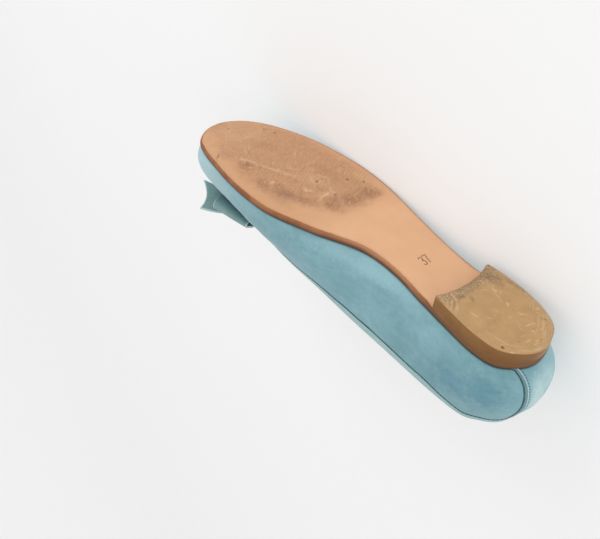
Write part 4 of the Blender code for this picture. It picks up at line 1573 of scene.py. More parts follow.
    # Dents: x, y, half length, half width, turn in degrees, depth
    dents: Rows = (
        (12.8, -14.5, 0.9, 0.7, 0, 0.7), (46, -7.3, 4.6, 0.7, -30, -0.22), (33.5, -9.2, 3, 0.8, 12, -0.16),
        (39.5, -1.5, 3, 0.8, -25, 0.22), (43.5, 18, 5, 4, 0, 0.18), (36, 9.8, 4, 0.5, -22, -0.12),
        (21, 8.8, 0.8, 1.9, -40, -0.14), (14, 6.3, 0.6, 2.2, -12, -0.12),
    )  # fmt: skip

    def boundary(self, inset: float, down: float) -> Array:
        """The block's outline: lateral side from the back, the hollow front, and the medial side.

        Args:
            inset: how far it is moved inwards.
            down: 0 at the seat to 1 at the tread, where the medial side leans in and the back flares out.

        Returns:
            A closed run of (x, y).
        """
        angle = float(angle_of(HEEL_BREAST)) * np.arange(self.half_steps + 1) / self.half_steps
        lateral, medial = (self.last.outline(Ring(angle, sign * np.ones_like(angle))) for sign in (1, -1))
        t = np.arange(1, self.breast_steps)[:, None] / self.breast_steps
        breast = (1 - t) * lateral[-1] + t * medial[-1]
        breast[:, 0] -= BREAST_HOLLOW * 4 * t[:, 0] * (1 - t[:, 0])
        points = np.concatenate([lateral, breast, medial[:0:-1]])
        outwards = self.last.outwards(points)
        flare = HEEL_FLARE * down * (1.0 - ease(points[:, :1] / HEEL_FLARE_RUN))
        flare *= 1.0 - ease(points[:, 1:] / HEEL_FLARE_REACH)
        points = points + (flare - inset) * outwards
        points[:, 1] += HEEL_TUCK * down * np.clip(-points[:, 1] / abs(medial[-1][1]), 0.0, 1.0)
        for corner, reach in ((self.half_steps, 6), (self.half_steps + self.breast_steps, 3)):
            near = np.arange(corner - reach, corner + reach + 1)
            for _ in range(4 * reach):
                points[near] = (points[near - 1] + points[near + 1]) / 2
        return points

    def face(self, boundary: Array) -> Array:
        """The tread face in strips that follow the hollow front.

        Args:
            boundary: the block's outline.

        Returns:
            Points as [row, column, xy].
        """
        n, m = self.half_steps, self.breast_steps
        lateral, medial = boundary[: n + 1], np.concatenate([boundary[:1], boundary[: n + m - 1 : -1]])
        t = np.linspace(0.0, 1.0, m + 1).reshape(-1, 1, 1)
        straight = (1 - t) * lateral + t * medial
        share = ease(np.linspace(-0.6, 1.0, n + 1)).reshape(1, -1, 1)
        return straight + share * (boundary[n : n + m + 1, None, :] - straight[:, -1:, :])

    def build(self, shoe: ShoeFrame, finish: Material) -> Piece:
        """Models the worn face, then the block's walls ring by ring, then its upper side.

        Args:
            shoe: the shoe's frame.
            finish: the stacked leather.

        Returns:
            The piece.
        """
        rings = [self.boundary(inset, 1.0 - ease(lift / HEEL_HEIGHT)) for inset, lift in self.edge]
        face, widest, n = self.face(rings[0]), rings[3], self.half_steps
        sides, breast = (widest[:n], widest[-n:]), widest[n : n + self.breast_steps + 1]
        walls = closed(np.array([np.insert(ring, 2, lift, axis=1) for ring, (_, lift) in zip(rings, self.edge)]), 1)
        edge = np.minimum(*(distance_to(side, face) for side in sides))
        front, wall_front = distance_to(breast, face), distance_to(breast, walls[..., :2])
        along, wall_along = (np.degrees(np.arctan2(at[..., 1], self.turning - at[..., 0])) for at in (face, walls))
        height = 0.1 * noise_table(face, 9.0, 3.1) + 0.05 * noise_table(face, 2.5, 8.1) + dented(self.dents, face)
        worn = 0.16 * noise_table(face, 1.7, 5.4) + 0.1 * noise_table(face, 3.4, 2.9) + 0.08
        height += ease((13.0 - front) / 9.0) * worn
        lift = np.maximum(ease((np.minimum(edge, front) - 0.6) / 1.6) * height, -0.25)
        values = {"edge": edge, "front": front, "along": along, "face": np.ones_like(edge)}
        values["pale_lines"], values["dark_lines"] = drawn(self.pale_lines, face), drawn(self.dark_lines, face)
        tread = sheet(np.dstack([face, lift]), values)
        wall_face = np.outer(self.face_shares, np.ones(walls.shape[1]))
        values = {"edge": np.zeros_like(wall_face), "front": wall_front, "along": wall_along, "face": wall_face}
        top = bmesh.new()
        top.faces.new([top.verts.new(place) for place in walls[-1, :-1]])
        bm = joined([tread, sheet(walls, values), top], weld=2e-3)
        return shoe.place("heel_block", bm, finish, Slot.HEEL, ["heel"], sharp=60)


@dataclass
class SizeNumber:
    """The plain size number pressed into the waist of the sole, as thin strokes."""

    last: Last
    stroke: float = 0.3
    place: tuple[float, float] = (73.9, 5.5)
    height: float = 5.6
    strokes: tuple[tuple[tuple[float, float], ...], ...] = (
        ((0.0, 0.86), (0.1, 0.97), (0.24, 1.0), (0.38, 0.93), (0.43, 0.77), (0.36, 0.61), (0.2, 0.54)),
        ((0.2, 0.54), (0.38, 0.47), (0.47, 0.3), (0.41, 0.11), (0.24, 0.0), (0.09, 0.03), (-0.01, 0.15)),
        ((0.66, 0.88), (0.67, 0.99), (0.85, 0.99), (1.03, 0.99), (1.16, 0.98)),
        ((1.16, 0.98), (1.06, 0.76), (0.96, 0.5), (0.88, 0.24), (0.84, 0.0)),
    )

    def build(self, shoe: ShoeFrame, finish: Material) -> Piece:
        """Models each stroke as a thin rounded bar that lies in the leather.

        Args:
            shoe: the shoe's frame.
            finish: the pressed, darkened leather.

        Returns:
            The piece.
        """
        bars = []
        for points in self.strokes:
            across, ahead = (smooth_run(points, 18) * (self.height * 0.8, self.height)).T
            flat = np.column_stack([self.place[0] + ahead, self.place[1] + across])
            middle = self.last.lifted(flat, 0.02 + 0.1 * noise_table(flat, 16.0, 1.3))
            bars.append(bar(middle, np.tile([0.0, 0.0, -1.0], (len(flat), 1)), self.stroke, 0.1))
        return shoe.place("size_number", joined(bars, weld=0), finish, Slot.SOLE)


@dataclass
class Skin:
    """The upper's outer surface, from the sole to the rim, with its soft creases."""

    last: Last
    half_steps: int = 168
    rows: int = 60
    # Each crease's side, the station and the share of the wall's height where it starts, the same where it ends,
    # its width and its depth
    creases: tuple[tuple, ...] = (
        (Side.MEDIAL, 20, 0.35, 44, 0.8, 5, 0.5), (Side.MEDIAL, 52, 0.3, 70, 0.75, 6, 0.28),
        (Side.MEDIAL, 92, 0.25, 104, 0.8, 5, 0.32), (Side.MEDIAL, 132, 0.15, 150, 0.75, 4.5, 0.45),
        (Side.MEDIAL, 150, 0.12, 176, 0.6, 4, 0.4), (Side.LATERAL, 140, 0.15, 158, 0.75, 4.5, 0.5),
        (Side.LATERAL, 154, 0.12, 180, 0.62, 4, 0.42), (Side.LATERAL, 88, 0.2, 102, 0.85, 6, 0.35),
        (Side.LATERAL, 36, 0.25, 56, 0.8, 6, 0.4), (Side.LATERAL, 12, 0.35, 26, 0.7, 5, 0.35),
        (Side.MEDIAL, 188, 0.45, 206, 0.75, 4, 0.25), (Side.LATERAL, 190, 0.45, 208, 0.75, 4, 0.25),
    )  # fmt: skip
    points: Array = field(init=False)
    normals: Array = field(init=False)
    above_sole: Array = field(init=False)

    def __post_init__(self) -> None:
        """Works out the surface."""
        self.ring = self.last.ring(self.half_steps)
        shares = np.linspace(0.0, 1.0, self.rows + 1)
        self.points = self.last.wall(self.ring, shares)
        self.points = self.points + self.height(shares)[..., None] * self.outward_normals()
        self.normals = self.outward_normals()
        steps = np.linalg.norm(np.diff(self.points, axis=0), axis=2)
        self.above_sole = np.concatenate([np.zeros((1, steps.shape[1])), np.cumsum(steps, axis=0)])

    def outward_normals(self) -> Array:
        """Unit normals at every point of the surface."""
        around = np.roll(self.points, -1, axis=1) - np.roll(self.points, 1, axis=1)
        return unit(np.cross(np.gradient(self.points, axis=0), around))

    def surface(self) -> tuple[Mesh, BVHTree]:
        """The surface as a mesh with its normals, and as a tree to look up.

        Returns:
            The mesh and the tree.
        """
        bm = sheet(closed(self.points, 1))
        bm.normal_update()
        return bm, BVHTree.FromBMesh(bm)

    def spot(self, side: Side, station: float, share: float) -> Array:
        """The place on the wall above a station.

        Args:
            side: the side of the shoe.
            station: the station of the sole's outline.
            share: the share of the wall's height.

        Returns:
            The place.
        """
        away = np.abs(self.ring.angle - float(angle_of(station)))
        column = np.argmin(np.where(self.ring.sign == side.value, away, 9.0))
        return self.points[round(share * self.rows), int(column)]

    def height(self, shares: Array) -> Array:
        """How far the creases and the unevenness of the leather lift the surface.

        Args:
            shares: the rows' heights as shares of the wall.

        Returns:
            A table of heights.
        """
        table = 0.22 * noise_table(self.points, 21.0, 6.5) + 0.07 * noise_table(self.points, 8.0, 3.4)
        for side, low, low_share, high, high_share, width, depth in self.creases:
            start = self.spot(side, low, low_share)
            run = self.spot(side, high, high_share) - start
            share = np.clip((self.points - start) @ run / (run @ run), 0.0, 1.0)
            away = np.linalg.norm(self.points - start - share[..., None] * run, axis=-1) / width
            trough = -np.exp(-(away**2)) + 0.5 * np.exp(-(((away - 1.7) / 0.8) ** 2))
            table += depth * (0.55 + 0.45 * np.sin(np.pi * share)) * trough
        hold = ease(shares / 0.10) * ease((1.0 - shares) / 0.14)
        return table * hold[:, None]

    def at(self, down: Union[float, Array], out: Union[float, Array]) -> Array:
        """A closed run of places near the rim.

        Args:
            down: how far each lies below the rim along the wall, less than 0 above it.
            out: how far it stands out from the wall.

        Returns:
            One place for each step round the shoe.
        """
        count = self.points.shape[1]
        down, out = np.broadcast_to(down, (count,)), np.broadcast_to(out, (count,))
        up = unit(self.points[-1] - self.points[-3])
        below = (self.above_sole[-1] - self.above_sole)[::-1]
        places = np.empty((count, 3))
        for k in range(count):
            line, normal = (
                np.array([np.interp(down[k], below[:, k], column) for column in table[::-1, k].T])
                for table in (self.points, self.normals)
            )
            places[k] = line + out[k] * normal + max(-down[k], 0.0) * up[k]
        return places

    def band(self, section: Sequence[tuple]) -> Mesh:
        """A closed band round the rim, through pairs of a depth below it and a distance from the wall."""
        rows = np.array([self.at(down, out) for down, out in section])
        return sheet(closed(closed(rows, 0), 1))


@dataclass
class Upper:
    """The suede upper, its lining, the folded topline, and the centre-back seam."""

    skin: Skin
    suede: float = 1.0
    tuck: float = 0.9
    fold_depths: tuple[tuple[float, float], ...] = (
        (0, 2.6), (20, 2.8), (33, 3.4), (46, 4.4), (58, 3.8), (82, 4.1), (110, 3.5), (150, 3.3), (180, 3.2),
    )  # fmt: skip
    stitch_step: float = 2.1
    back_seam: Rows = (
        (7.4, -11.0, 9.2), (5.1, -9.8, 11.7), (2.3, -9.1, 14.3), (0.0, -8.6, 17.8), (-1.5, -8.4, 21.9),
        (-2.2, -8.1, 27.0), (-1.9, -7.5, 32.1), (-0.7, -6.9, 37.8), (0.9, -6.3, 42.6), (2.9, -5.8, 46.8),
        (5.2, -5.4, 50.6),
    )  # fmt: skip

    def shell(self, outer: Array, thickness: float) -> Mesh:
        """A closed shell between a surface and its offset towards the foot.

        Args:
            outer: the surface's points, the skin's with or without a tucked first row.
            thickness: the shell's thickness.

        Returns:
            The new mesh.
        """
        skin, extra = self.skin, len(outer) - len(self.skin.normals)
        normals, above = (np.concatenate([table[:1]] * extra + [table]) for table in (skin.normals, skin.above_sole))
        inner = outer - thickness * normals
        inner[0, :, 2] = outer[0, :, 2]
        table, above = (
            closed(closed(np.concatenate([out, back[::-1]]), 0), 1) for out, back in ((outer, inner), (above, above))
        )
        return sheet(table, {"above_sole": above})

    def build_suede(self, shoe: ShoeFrame, finish: Material) -> Piece:
        """Models the suede outside, whose foot turns in over the sole.

        Args:
            shoe: the shoe's frame.
            finish: the suede.

        Returns:
            The piece.
        """
        skin = self.skin
        tucked = skin.points[0] - self.tuck * unit(skin.normals[0] * (1.0, 1.0, 0.0))
        tucked[:, 2] -= GAP - CLOSE
        bm = self.shell(np.concatenate([tucked[None], skin.points]), self.suede)
        return shoe.place("upper_suede", bm, finish, Slot.SUEDE, ["upper"])

    def build_lining(self, shoe: ShoeFrame, finish: Material) -> Piece:
        """Models the lining just inside the suede.

        Args:
            shoe: the shoe's frame.
            finish: the lining's leather.

        Returns:
            The piece.
        """
        skin = self.skin
        outer = skin.points - (self.suede + CLOSE) * skin.normals
        outer[0, :, 2] = skin.points[0, :, 2]
        bm = self.shell(outer, WALL - self.suede - CLOSE)
        return shoe.place("upper_lining", bm, finish, Slot.SOCK)

    def fold_edge(self) -> Array:
        """How far below the rim the folded topline ends, a little wavy.

        Returns:
            The depth at each of the rim's points.
        """
        points = self.skin.points[-1]
        wave = 0.22 * noise_table(points, 13.0, 9.2) + 0.14 * noise_table(points, 4.0, 2.7)
        return np.interp(points[:, 0], *np.transpose(self.fold_depths)) + wave

    def build_topline(self, shoe: ShoeFrame, finish: Material) -> Piece:
        """Models the topline: the suede folded over a thin cord at the rim, outside and inside.

        Args:
            shoe: the shoe's frame.
            finish: the suede of the fold.

        Returns:
            The piece.
        """
        deep = self.fold_edge()
        section = (
            (deep, -0.35), (deep + 0.05, 0.10), (deep - 0.15, 0.36), (deep - 0.7, 0.50), (deep * 0.55, 0.46),
            (deep * 0.3, 0.52), (0.45, 0.62), (-0.15, 0.42), (-0.6, -0.05), (-0.85, -0.7), (-0.85, -1.15),
            (-0.6, -1.75), (-0.1, -2.15), (0.8, -2.3), (2.4, -2.2), (3.6, -2.1), (3.75, -1.7), (2.0, -1.2),
        )  # fmt: skip
        return shoe.place("topline_fold", self.skin.band(section), finish, Slot.SUEDE)

    def build_seam_line(self, shoe: ShoeFrame, finish: Material) -> Piece:
        """Models the dark line just below the topline, which paints the groove's shade, with its small stitches.

        Args:
            shoe: the shoe's frame.
            finish: the stitches' dark finish, which also paints the groove's shade.

        Returns:
            The piece.
        """
        deep = self.fold_edge() + 0.42
        wide = 0.60 + 0.16 * noise_table(self.skin.points[-1], 9.0, 4.4)
        shares = ((-1, 0.0), (-0.7, 0.1), (0, 0.13), (0.7, 0.1), (1, 0.0))
        # Painted shade: the dark line under the fold
        groove_shade = self.skin.band([*((deep + wide * share, out) for share, out in shares), (deep, -0.3)])
        run = closed(self.skin.at(deep, 0.2), 0)
        stitches = [self.stitch(ends, 0.17) for ends in spaced(run, 0.0, 0.0, self.stitch_step, 0.55)]
        return shoe.place("topline_seam", joined([groove_shade, *stitches], weld=0), finish, Slot.SUEDE)

    @staticmethod
    def stitch(ends: Array, thick: float) -> Mesh:
        """One short stitch, of a few dozen faces.

        Args:
            ends: its two ends.
            thick: half its thickness.

        Returns:
            The new mesh.
        """
        bm = bmesh.new()
        way = Vector(ends[1] - ends[0])
        bmesh.ops.create_icosphere(bm, subdivisions=1, radius=1.0)
        bmesh.ops.scale(bm, vec=(thick, thick, way.length / 2), verts=bm.verts)
        bmesh.ops.rotate(bm, cent=(0, 0, 0), matrix=way.to_track_quat("Z", "Y").to_matrix(), verts=bm.verts)
        bmesh.ops.translate(bm, vec=Vector(ends.mean(axis=0)), verts=bm.verts)
        return bm

    def back_run(self, count: int = 90) -> tuple[Array, Array, Array]:
        """The centre-back seam on the suede.

        Args:
            count: the number of points.

        Returns:
            Its points, the outward directions there, and the directions towards the lateral side.
        """
        surface, tree = self.skin.surface()
        found = [tree.find_nearest(Vector(point))[:2] for point in smooth_run(self.back_seam, count)]
        surface.free()
        places = np.array([place for place, _ in found])
        outwards = unit(np.array([normal if normal.x < 0 else -normal for _, normal in found]))
        lateral = unit(np.cross(unit(np.gradient(places, axis=0)), outwards))
        return places, outwards, lateral * np.sign(lateral[:, 1:2])

    def build_back_strip(self, shoe: ShoeFrame, strip: Material, bead: Material, thread: Material) -> list[Piece]:
        """Models the narrow strip over the centre-back seam, its raised edge in pale suede that paints a highlight, a
        dark line beside the strip that paints shade, and its stitches.

        Args:
            shoe: the shoe's frame.
            strip: the finish of the strip.
            bead: the pale finish of its raised lateral edge, a painted highlight.
            thread: the finish of the dark line, a painted shade, and of the stitches.

        Returns:
            The pieces.
        """
        places, outwards, lateral = self.back_run()
        t = np.linspace(0.0, 1.0, len(places))
        half = 0.4 + 0.26 * np.sin(np.pi * t).clip(0.0) ** 0.8

        def beside(across: Union[float, Array], out: float) -> Array:
            """The seam's run, moved towards the lateral side and outwards."""
            return places + lateral * np.reshape(across, (-1, 1)) + out * outwards

        body = bar(beside(0.0, 0.12), outwards, half + 0.1, 0.22, steps=12)
        # Painted highlight: the raised edge in pale suede
        edge = bar(beside(half + 0.16, 0.18), outwards, 0.24, 0.28, steps=10)
        # Painted shade: the dark line beside the strip
        groove_shade = bar(beside(-half - 0.34, 0.05), outwards, 0.34 + 0.3 * t, 0.14)
        stitches = [self.stitch(ends, 0.2) for ends in spaced(beside(half + 1.05, 0.06), 3.0, 5.0, 1.55, 0.42)]
        return [
            shoe.place("back_strip", body, strip, Slot.SUEDE),
            shoe.place("back_strip_edge", edge, bead, Slot.SUEDE),
            shoe.place("back_seam_thread", joined([groove_shade, *stitches], weld=0), thread, Slot.SUEDE),
        ]

    def build_cement_shade_line(self, shoe: ShoeFrame, finish: Material) -> Piece:
        """Models the dark line of cement and painted crevice shade where the upper turns in over the sole.

        Args:
            shoe: the shoe's frame.
            finish: the cement's dark finish, which also paints the crevice's shade.

        Returns:
            The piece.
        """
        last, ring = self.skin.last, self.skin.ring
        section = ((2.2, -0.05), (0.62, -0.05), (0.55, 0.12), (0.7, 0.4), (0.95, 0.62), (2.2, 0.62))
        rows = [last.lifted(last.outline(ring, inset), SOLE_THICKNESS + lift) for inset, lift in section]
        return shoe.place("sole_cement_line", sheet(closed(closed(np.array(rows), 0), 1)), finish, Slot.SOLE)


@dataclass
class Sock:
    """The leather sock on the insole, pressed by the foot."""

    last: Last
    columns: int = 150
    rows: int = 44
    inset: float = FEATHER_INSET + WALL + GAP
    lift: float = SOLE_THICKNESS + GAP
    # Hollows: x, y, half length, half width, turn in degrees, depth
    presses: Rows = (
        (25, 1, 17, 13, 0, 0.55), (158, -14, 20, 12, 8, 0.4), (160, 12, 22, 12, -6, 0.35), (222, -9, 9, 8, 0, 0.3),
    )  # fmt: skip

    def build(self, shoe: ShoeFrame, finish: Material) -> Piece:
        """Models the sock with its rounded edge and the hollows under heel, ball and big toe.

        Args:
            shoe: the shoe's frame.
            finish: the sock's leather.

        Returns:
            The piece.
        """
        last, ring, thick = self.last, self.last.ring(self.columns), INSOLE_THICKNESS
        steps = ((0.25, 0.0), (0.0, 0.25), (0.0, thick - 0.45), (0.12, thick - 0.15), (0.5, thick))
        rows = [last.lifted(last.outline(ring, self.inset + inset), self.lift + lift) for inset, lift in steps]
        flat = strips(rows[-1][:, :2], self.rows)
        fade = ease(distance_to(rows[-1][:, :2], flat) / 4.0)
        press = fade * (dented(self.presses, flat) + 0.08 * noise_table(flat, 9.0, 1.9))
        top, bottom = sheet(last.lifted(flat, self.lift + thick - press)), sheet(strips(rows[0], 1))
        bm = joined([sheet(closed(np.array(rows), 1)), top, bottom], weld=2e-3)
        return shoe.place("sock_leather", bm, finish, Slot.SOCK, ["insole"], sharp=60)


class BowPlace:
    """Where the bow sits on the vamp: x towards the toe, y lateral, z away from the foot."""

    station = 196.0
    knot_length = 17.0

    def __init__(self, skin: Skin) -> None:
        """Finds the vamp's crown at the bow's station.

        Args:
            skin: the upper's surface.
        """
        crown = skin.points[:, skin.half_steps]
        crown = crown[np.argsort(crown[:, 0])]
        stations = self.station + np.array([-0.5, 0.0, 0.5]) * self.knot_length
        behind, here, before = np.interp(stations, crown[:, 0], crown[:, 2])
        self.origin = np.array([self.station, 0.0, here])
        along = unit(np.array([self.knot_length, 0.0, before - behind]))
        self.axes = np.array([along, [0.0, 1.0, 0.0], [-along[2], 0.0, along[0]]])
        bm, self.vamp = skin.surface()
        bm.free()

    def __call__(self, places: Array) -> Array:
        """Places given in the bow's own axes, in the shoe's."""
        return self.origin + places @ self.axes

    def clear_of_vamp(self, places: Array, gap: float = 0.9, above: float = 30.0) -> Array:
        """Raises the places, in the bow's axes, that would sink into the vamp.

        Args:
            places: [row, column, xyz].
            gap: the least distance from the vamp.
            above: a height that's well clear of it.

        Returns:
            The places, raised where need be.
        """
        raised = places.copy()
        for index in np.ndindex(places.shape[:2]):
            start = self(np.array([places[index][0], places[index][1], above]))
            depth = self.vamp.ray_cast(Vector(start), Vector(-self.axes[2]))[3]
            if depth is not None:
                raised[index][2] = max(raised[index][2], above - depth + gap)
        return raised


class LoopSize(NamedTuple):
    """One folded loop, whose rounded end changes in height, radius and reach from one cut edge to the other."""

    side: Side
    span: float
    width: float
    shift: float
    end_height: float
    end_tilt: float
    end_radius: float
    end_flare: float
    skew: float


class TailSize(NamedTuple):
    """One cut end of the ribbon."""

    side: Side
    forward: float
    span: float
    width: float
    turn: float
    droop: float
    notch: float


@dataclass
class Bow:
    """The flat bow: a gathered knot, two folded loops and two cut tails."""

    place: BowPlace
    knot_width: float = 11.0
    knot_thickness: float = 8.0
    ribbon: float = 1.2
    loop_pinch: float = 13.0
    tail_pinch: float = 9.0
    fold: float = 1.6
    loop_root: float = 3.2
    tail_root: float = 7.6
    tail_offset: float = 4.0
    # Steps along each layer of a loop, round its end and across it
    loop_steps: int = 26
    turn_steps: int = 20
    loop_columns: int = 29
    tail_rows: int = 36
    tail_columns: int = 25
    knot_rows: int = 41
    knot_columns: int = 96
    # How steeply a loop's under and upper layers rise, how far the upper one arches, how much the under one waves
    under_rise: float = 2.2
    upper_rise: float = 1.2
    upper_arch: float = 0.6
    under_wave: float = 0.55
    tail_wave: float = 0.6
    tail_shade: float = 0.55
    # How square the knot's section is, and how far its bare ends are from a cut edge
    knot_squareness: float = 0.7
    far_from_edge: float = 9.0
    loops: tuple[LoopSize, ...] = (
        LoopSize(Side.LATERAL, 25.0, 27.0, 2.0, -2.8, 2.4, 3.7, 1.2, 1.2),
        LoopSize(Side.MEDIAL, 25.5, 26.7, 1.85, -3.15, 2.55, 4.15, 1.55, 2.2),
    )
    tails: tuple[TailSize, ...] = (
        TailSize(Side.LATERAL, 30.5, 25.0, 23.0, 38.0, 0.5, 3.0),
        TailSize(Side.MEDIAL, 31.6, 24.6, 24.0, 39.0, 0.3, 3.0),
    )

    def ribbon_piece(
        self, shoe: ShoeFrame, kind: str, side: Side, rows: list, edges: list, shades: list, finish: Material
    ) -> Piece:
        """A ribbon of even thickness with softened cut edges.

        Args:
            shoe: the shoe's frame.
            kind: loop or tail.
            side: its side of the shoe.
            rows: the ribbon's middle surface, in the bow's axes.
            edges: the distance of each place to the nearest cut edge.
            shades: each place's share of shade.
            finish: its suede.

        Returns:
            The piece.
        """
        name = f"bow_{kind}_{side.name.lower()}"
        table = np.array(rows)
        if kind == "loop":
            table = self.place.clear_of_vamp(table)
        bm = sheet(self.place(table), {"from_edge": np.array(edges), "in_shade": np.array(shades)}, weld=False)
        piece = shoe.place(name + "_suede", bm, finish, Slot.BOW, [name], sharp=180, outwards=False)
        thick = piece.modifiers.new("thickness", "SOLIDIFY")
        thick.thickness, thick.offset = self.ribbon * MM, 0.0
        soft = piece.modifiers.new("soft_edges", "BEVEL")
        soft.width, soft.segments, soft.limit_method = 0.3 * MM, 2, "ANGLE"
        soft.angle_limit, soft.harden_normals = math.radians(50), False
        return piece

    def build_loop(self, shoe: ShoeFrame, size: LoopSize, finish: Material) -> Piece:
        """Models a ribbon that leaves the knot, folds back and returns above itself, gathered at the knot.

        Args:
            shoe: the shoe's frame.
            size: the loop's sizes.
            finish: the suede.

        Returns:
            The piece.
        """
        start = self.knot_width / 2 + GAP
        out = [(k / self.loop_steps, -1.0, 0.0) for k in range(self.loop_steps)]
        turns = np.pi * (np.arange(self.turn_steps + 1) / self.turn_steps - 0.5)
        turned = [(1.0, math.sin(turn), math.cos(turn)) for turn in turns]
        across = np.linspace(-1.0, 1.0, self.loop_columns)
        radius = size.end_radius + size.end_flare * across
        run = size.span + size.skew * across - radius - start
        rows, edges, shades = [], [], []
        for t, layer, bulge in out + turned + [(t, 1.0, 0.0) for t, _, _ in reversed(out)]:
            half = (self.loop_pinch + (size.width - self.loop_pinch) * ease(t)) / 2
            low, high = self.loop_root + self.fold * layer, size.end_height + radius * layer + size.end_tilt * across
            height = low + (high - low) * t ** (self.under_rise if layer < 0 else self.upper_rise)
            height = height + self.upper_arch * math.sin(math.pi * t) * (layer > 0)
            gather = 0.42 * (1 - ease(t * 1.4)) * np.cos(across * 8.5)
            gather = gather + 0.16 * np.cos(across * 3.1 + layer) * math.sin(math.pi * t)
            gather = gather + 0.10 * np.cos(across * 5.0 + 1.7 * layer) * float(ease(t))
            height = height + gather * (self.under_wave if layer < 0 else 1.0)
            x, y = half * across + size.shift * t, start + run * t + radius * bulge
            rows.append(np.column_stack([x, size.side.value * y, height]))
            edges.append(half * (1 - np.abs(across)))
            shades.append(np.full_like(across, float(ease((0.05 - layer) / 1.2)) if t == 1.0 else float(layer < 0)))
        return self.ribbon_piece(shoe, "loop", size.side, rows, edges, shades, finish)

    def build_tail(self, shoe: ShoeFrame, size: TailSize, finish: Material) -> Piece:
        """Models a single ribbon end with a hollow cut and soft folds that run out from the knot.

        Args:
            shoe: the shoe's frame.
            size: the tail's sizes.
            finish: the suede.

        Returns:
            The piece.
        """
        root = np.array([self.tail_offset, self.knot_width / 2 + GAP])
        run = np.array([size.forward, size.span]) - root
        across = np.linspace(-1.0, 1.0, self.tail_columns)
        rows, edges, shades = [], [], []
        for t in np.linspace(0.0, 1.0, self.tail_rows):
            half = (self.tail_pinch + (size.width - self.tail_pinch) * float(ease(t))) / 2
            turn = math.radians(size.turn) * float(ease(2 * t))
            way = np.array([math.cos(turn), -math.sin(turn)])
            hollow = size.notch * (1 - across[:, None] ** 2) * unit(run)
            plan = root + t * (run - hollow) + half * across[:, None] * way
            fold = 0.45 * (1 - ease(t * 1.2)) * np.cos(across * 7.5) + 0.3 * float(ease(t)) * np.cos(across * 2.6 + 0.6)
            height = self.tail_root - size.droop * t + fold * self.tail_wave
            rows.append(np.column_stack([plan[:, 0], size.side.value * plan[:, 1], height]))
            edges.append(np.minimum(half * (1 - np.abs(across)), (1 - t) * np.linalg.norm(run)))
            shades.append(np.full_like(across, self.tail_shade * (1 - float(ease((t - 0.45) / 0.5)))))
        return self.ribbon_piece(shoe, "tail", size.side, rows, edges, shades, finish)

    def build_knot(self, shoe: ShoeFrame, finish: Material) -> Piece:
        """Models the band round the middle, with the gathers that run round it.

        Args:
            shoe: the shoe's frame.
            finish: the suede.

        Returns:
            The piece.
        """
        turns = 2 * np.pi * np.arange(self.knot_columns) / self.knot_columns
        round_x, round_z = (
            np.sign(part) * np.abs(part) ** self.knot_squareness for part in (np.cos(turns), np.sin(turns))
        )
        length, width, thick = self.place.knot_length / 2, self.knot_width / 2, self.knot_thickness / 2
        rows = []
        for s in np.linspace(-1.0, 1.0, self.knot_rows):
            rounded = (1 - abs(s) ** 7) ** 0.5 if abs(s) < 1 else 0.0
            gather = 1.0 + 0.035 * math.cos(s * 15.0) + 0.02 * math.cos(s * 31.0 + 1.0)
            scale = rounded * gather * (0.96 + 0.04 * s * s) * (1 + 0.018 * np.cos(turns * 3 + s * 5.0))
            y = np.full_like(turns, s * width)
            rows.append(np.column_stack([length * round_x * scale, y, GAP + thick + thick * round_z * scale]))
        table = closed(self.place(np.array(rows)), 1)
        edge = np.full(table.shape[:2], self.far_from_edge)
        bm = sheet(table, {"from_edge": edge, "in_shade": np.zeros_like(edge)})
        return shoe.place("bow_knot_suede", bm, finish, Slot.BOW, ["bow_knot"], sharp=70)


# ---- studio ----


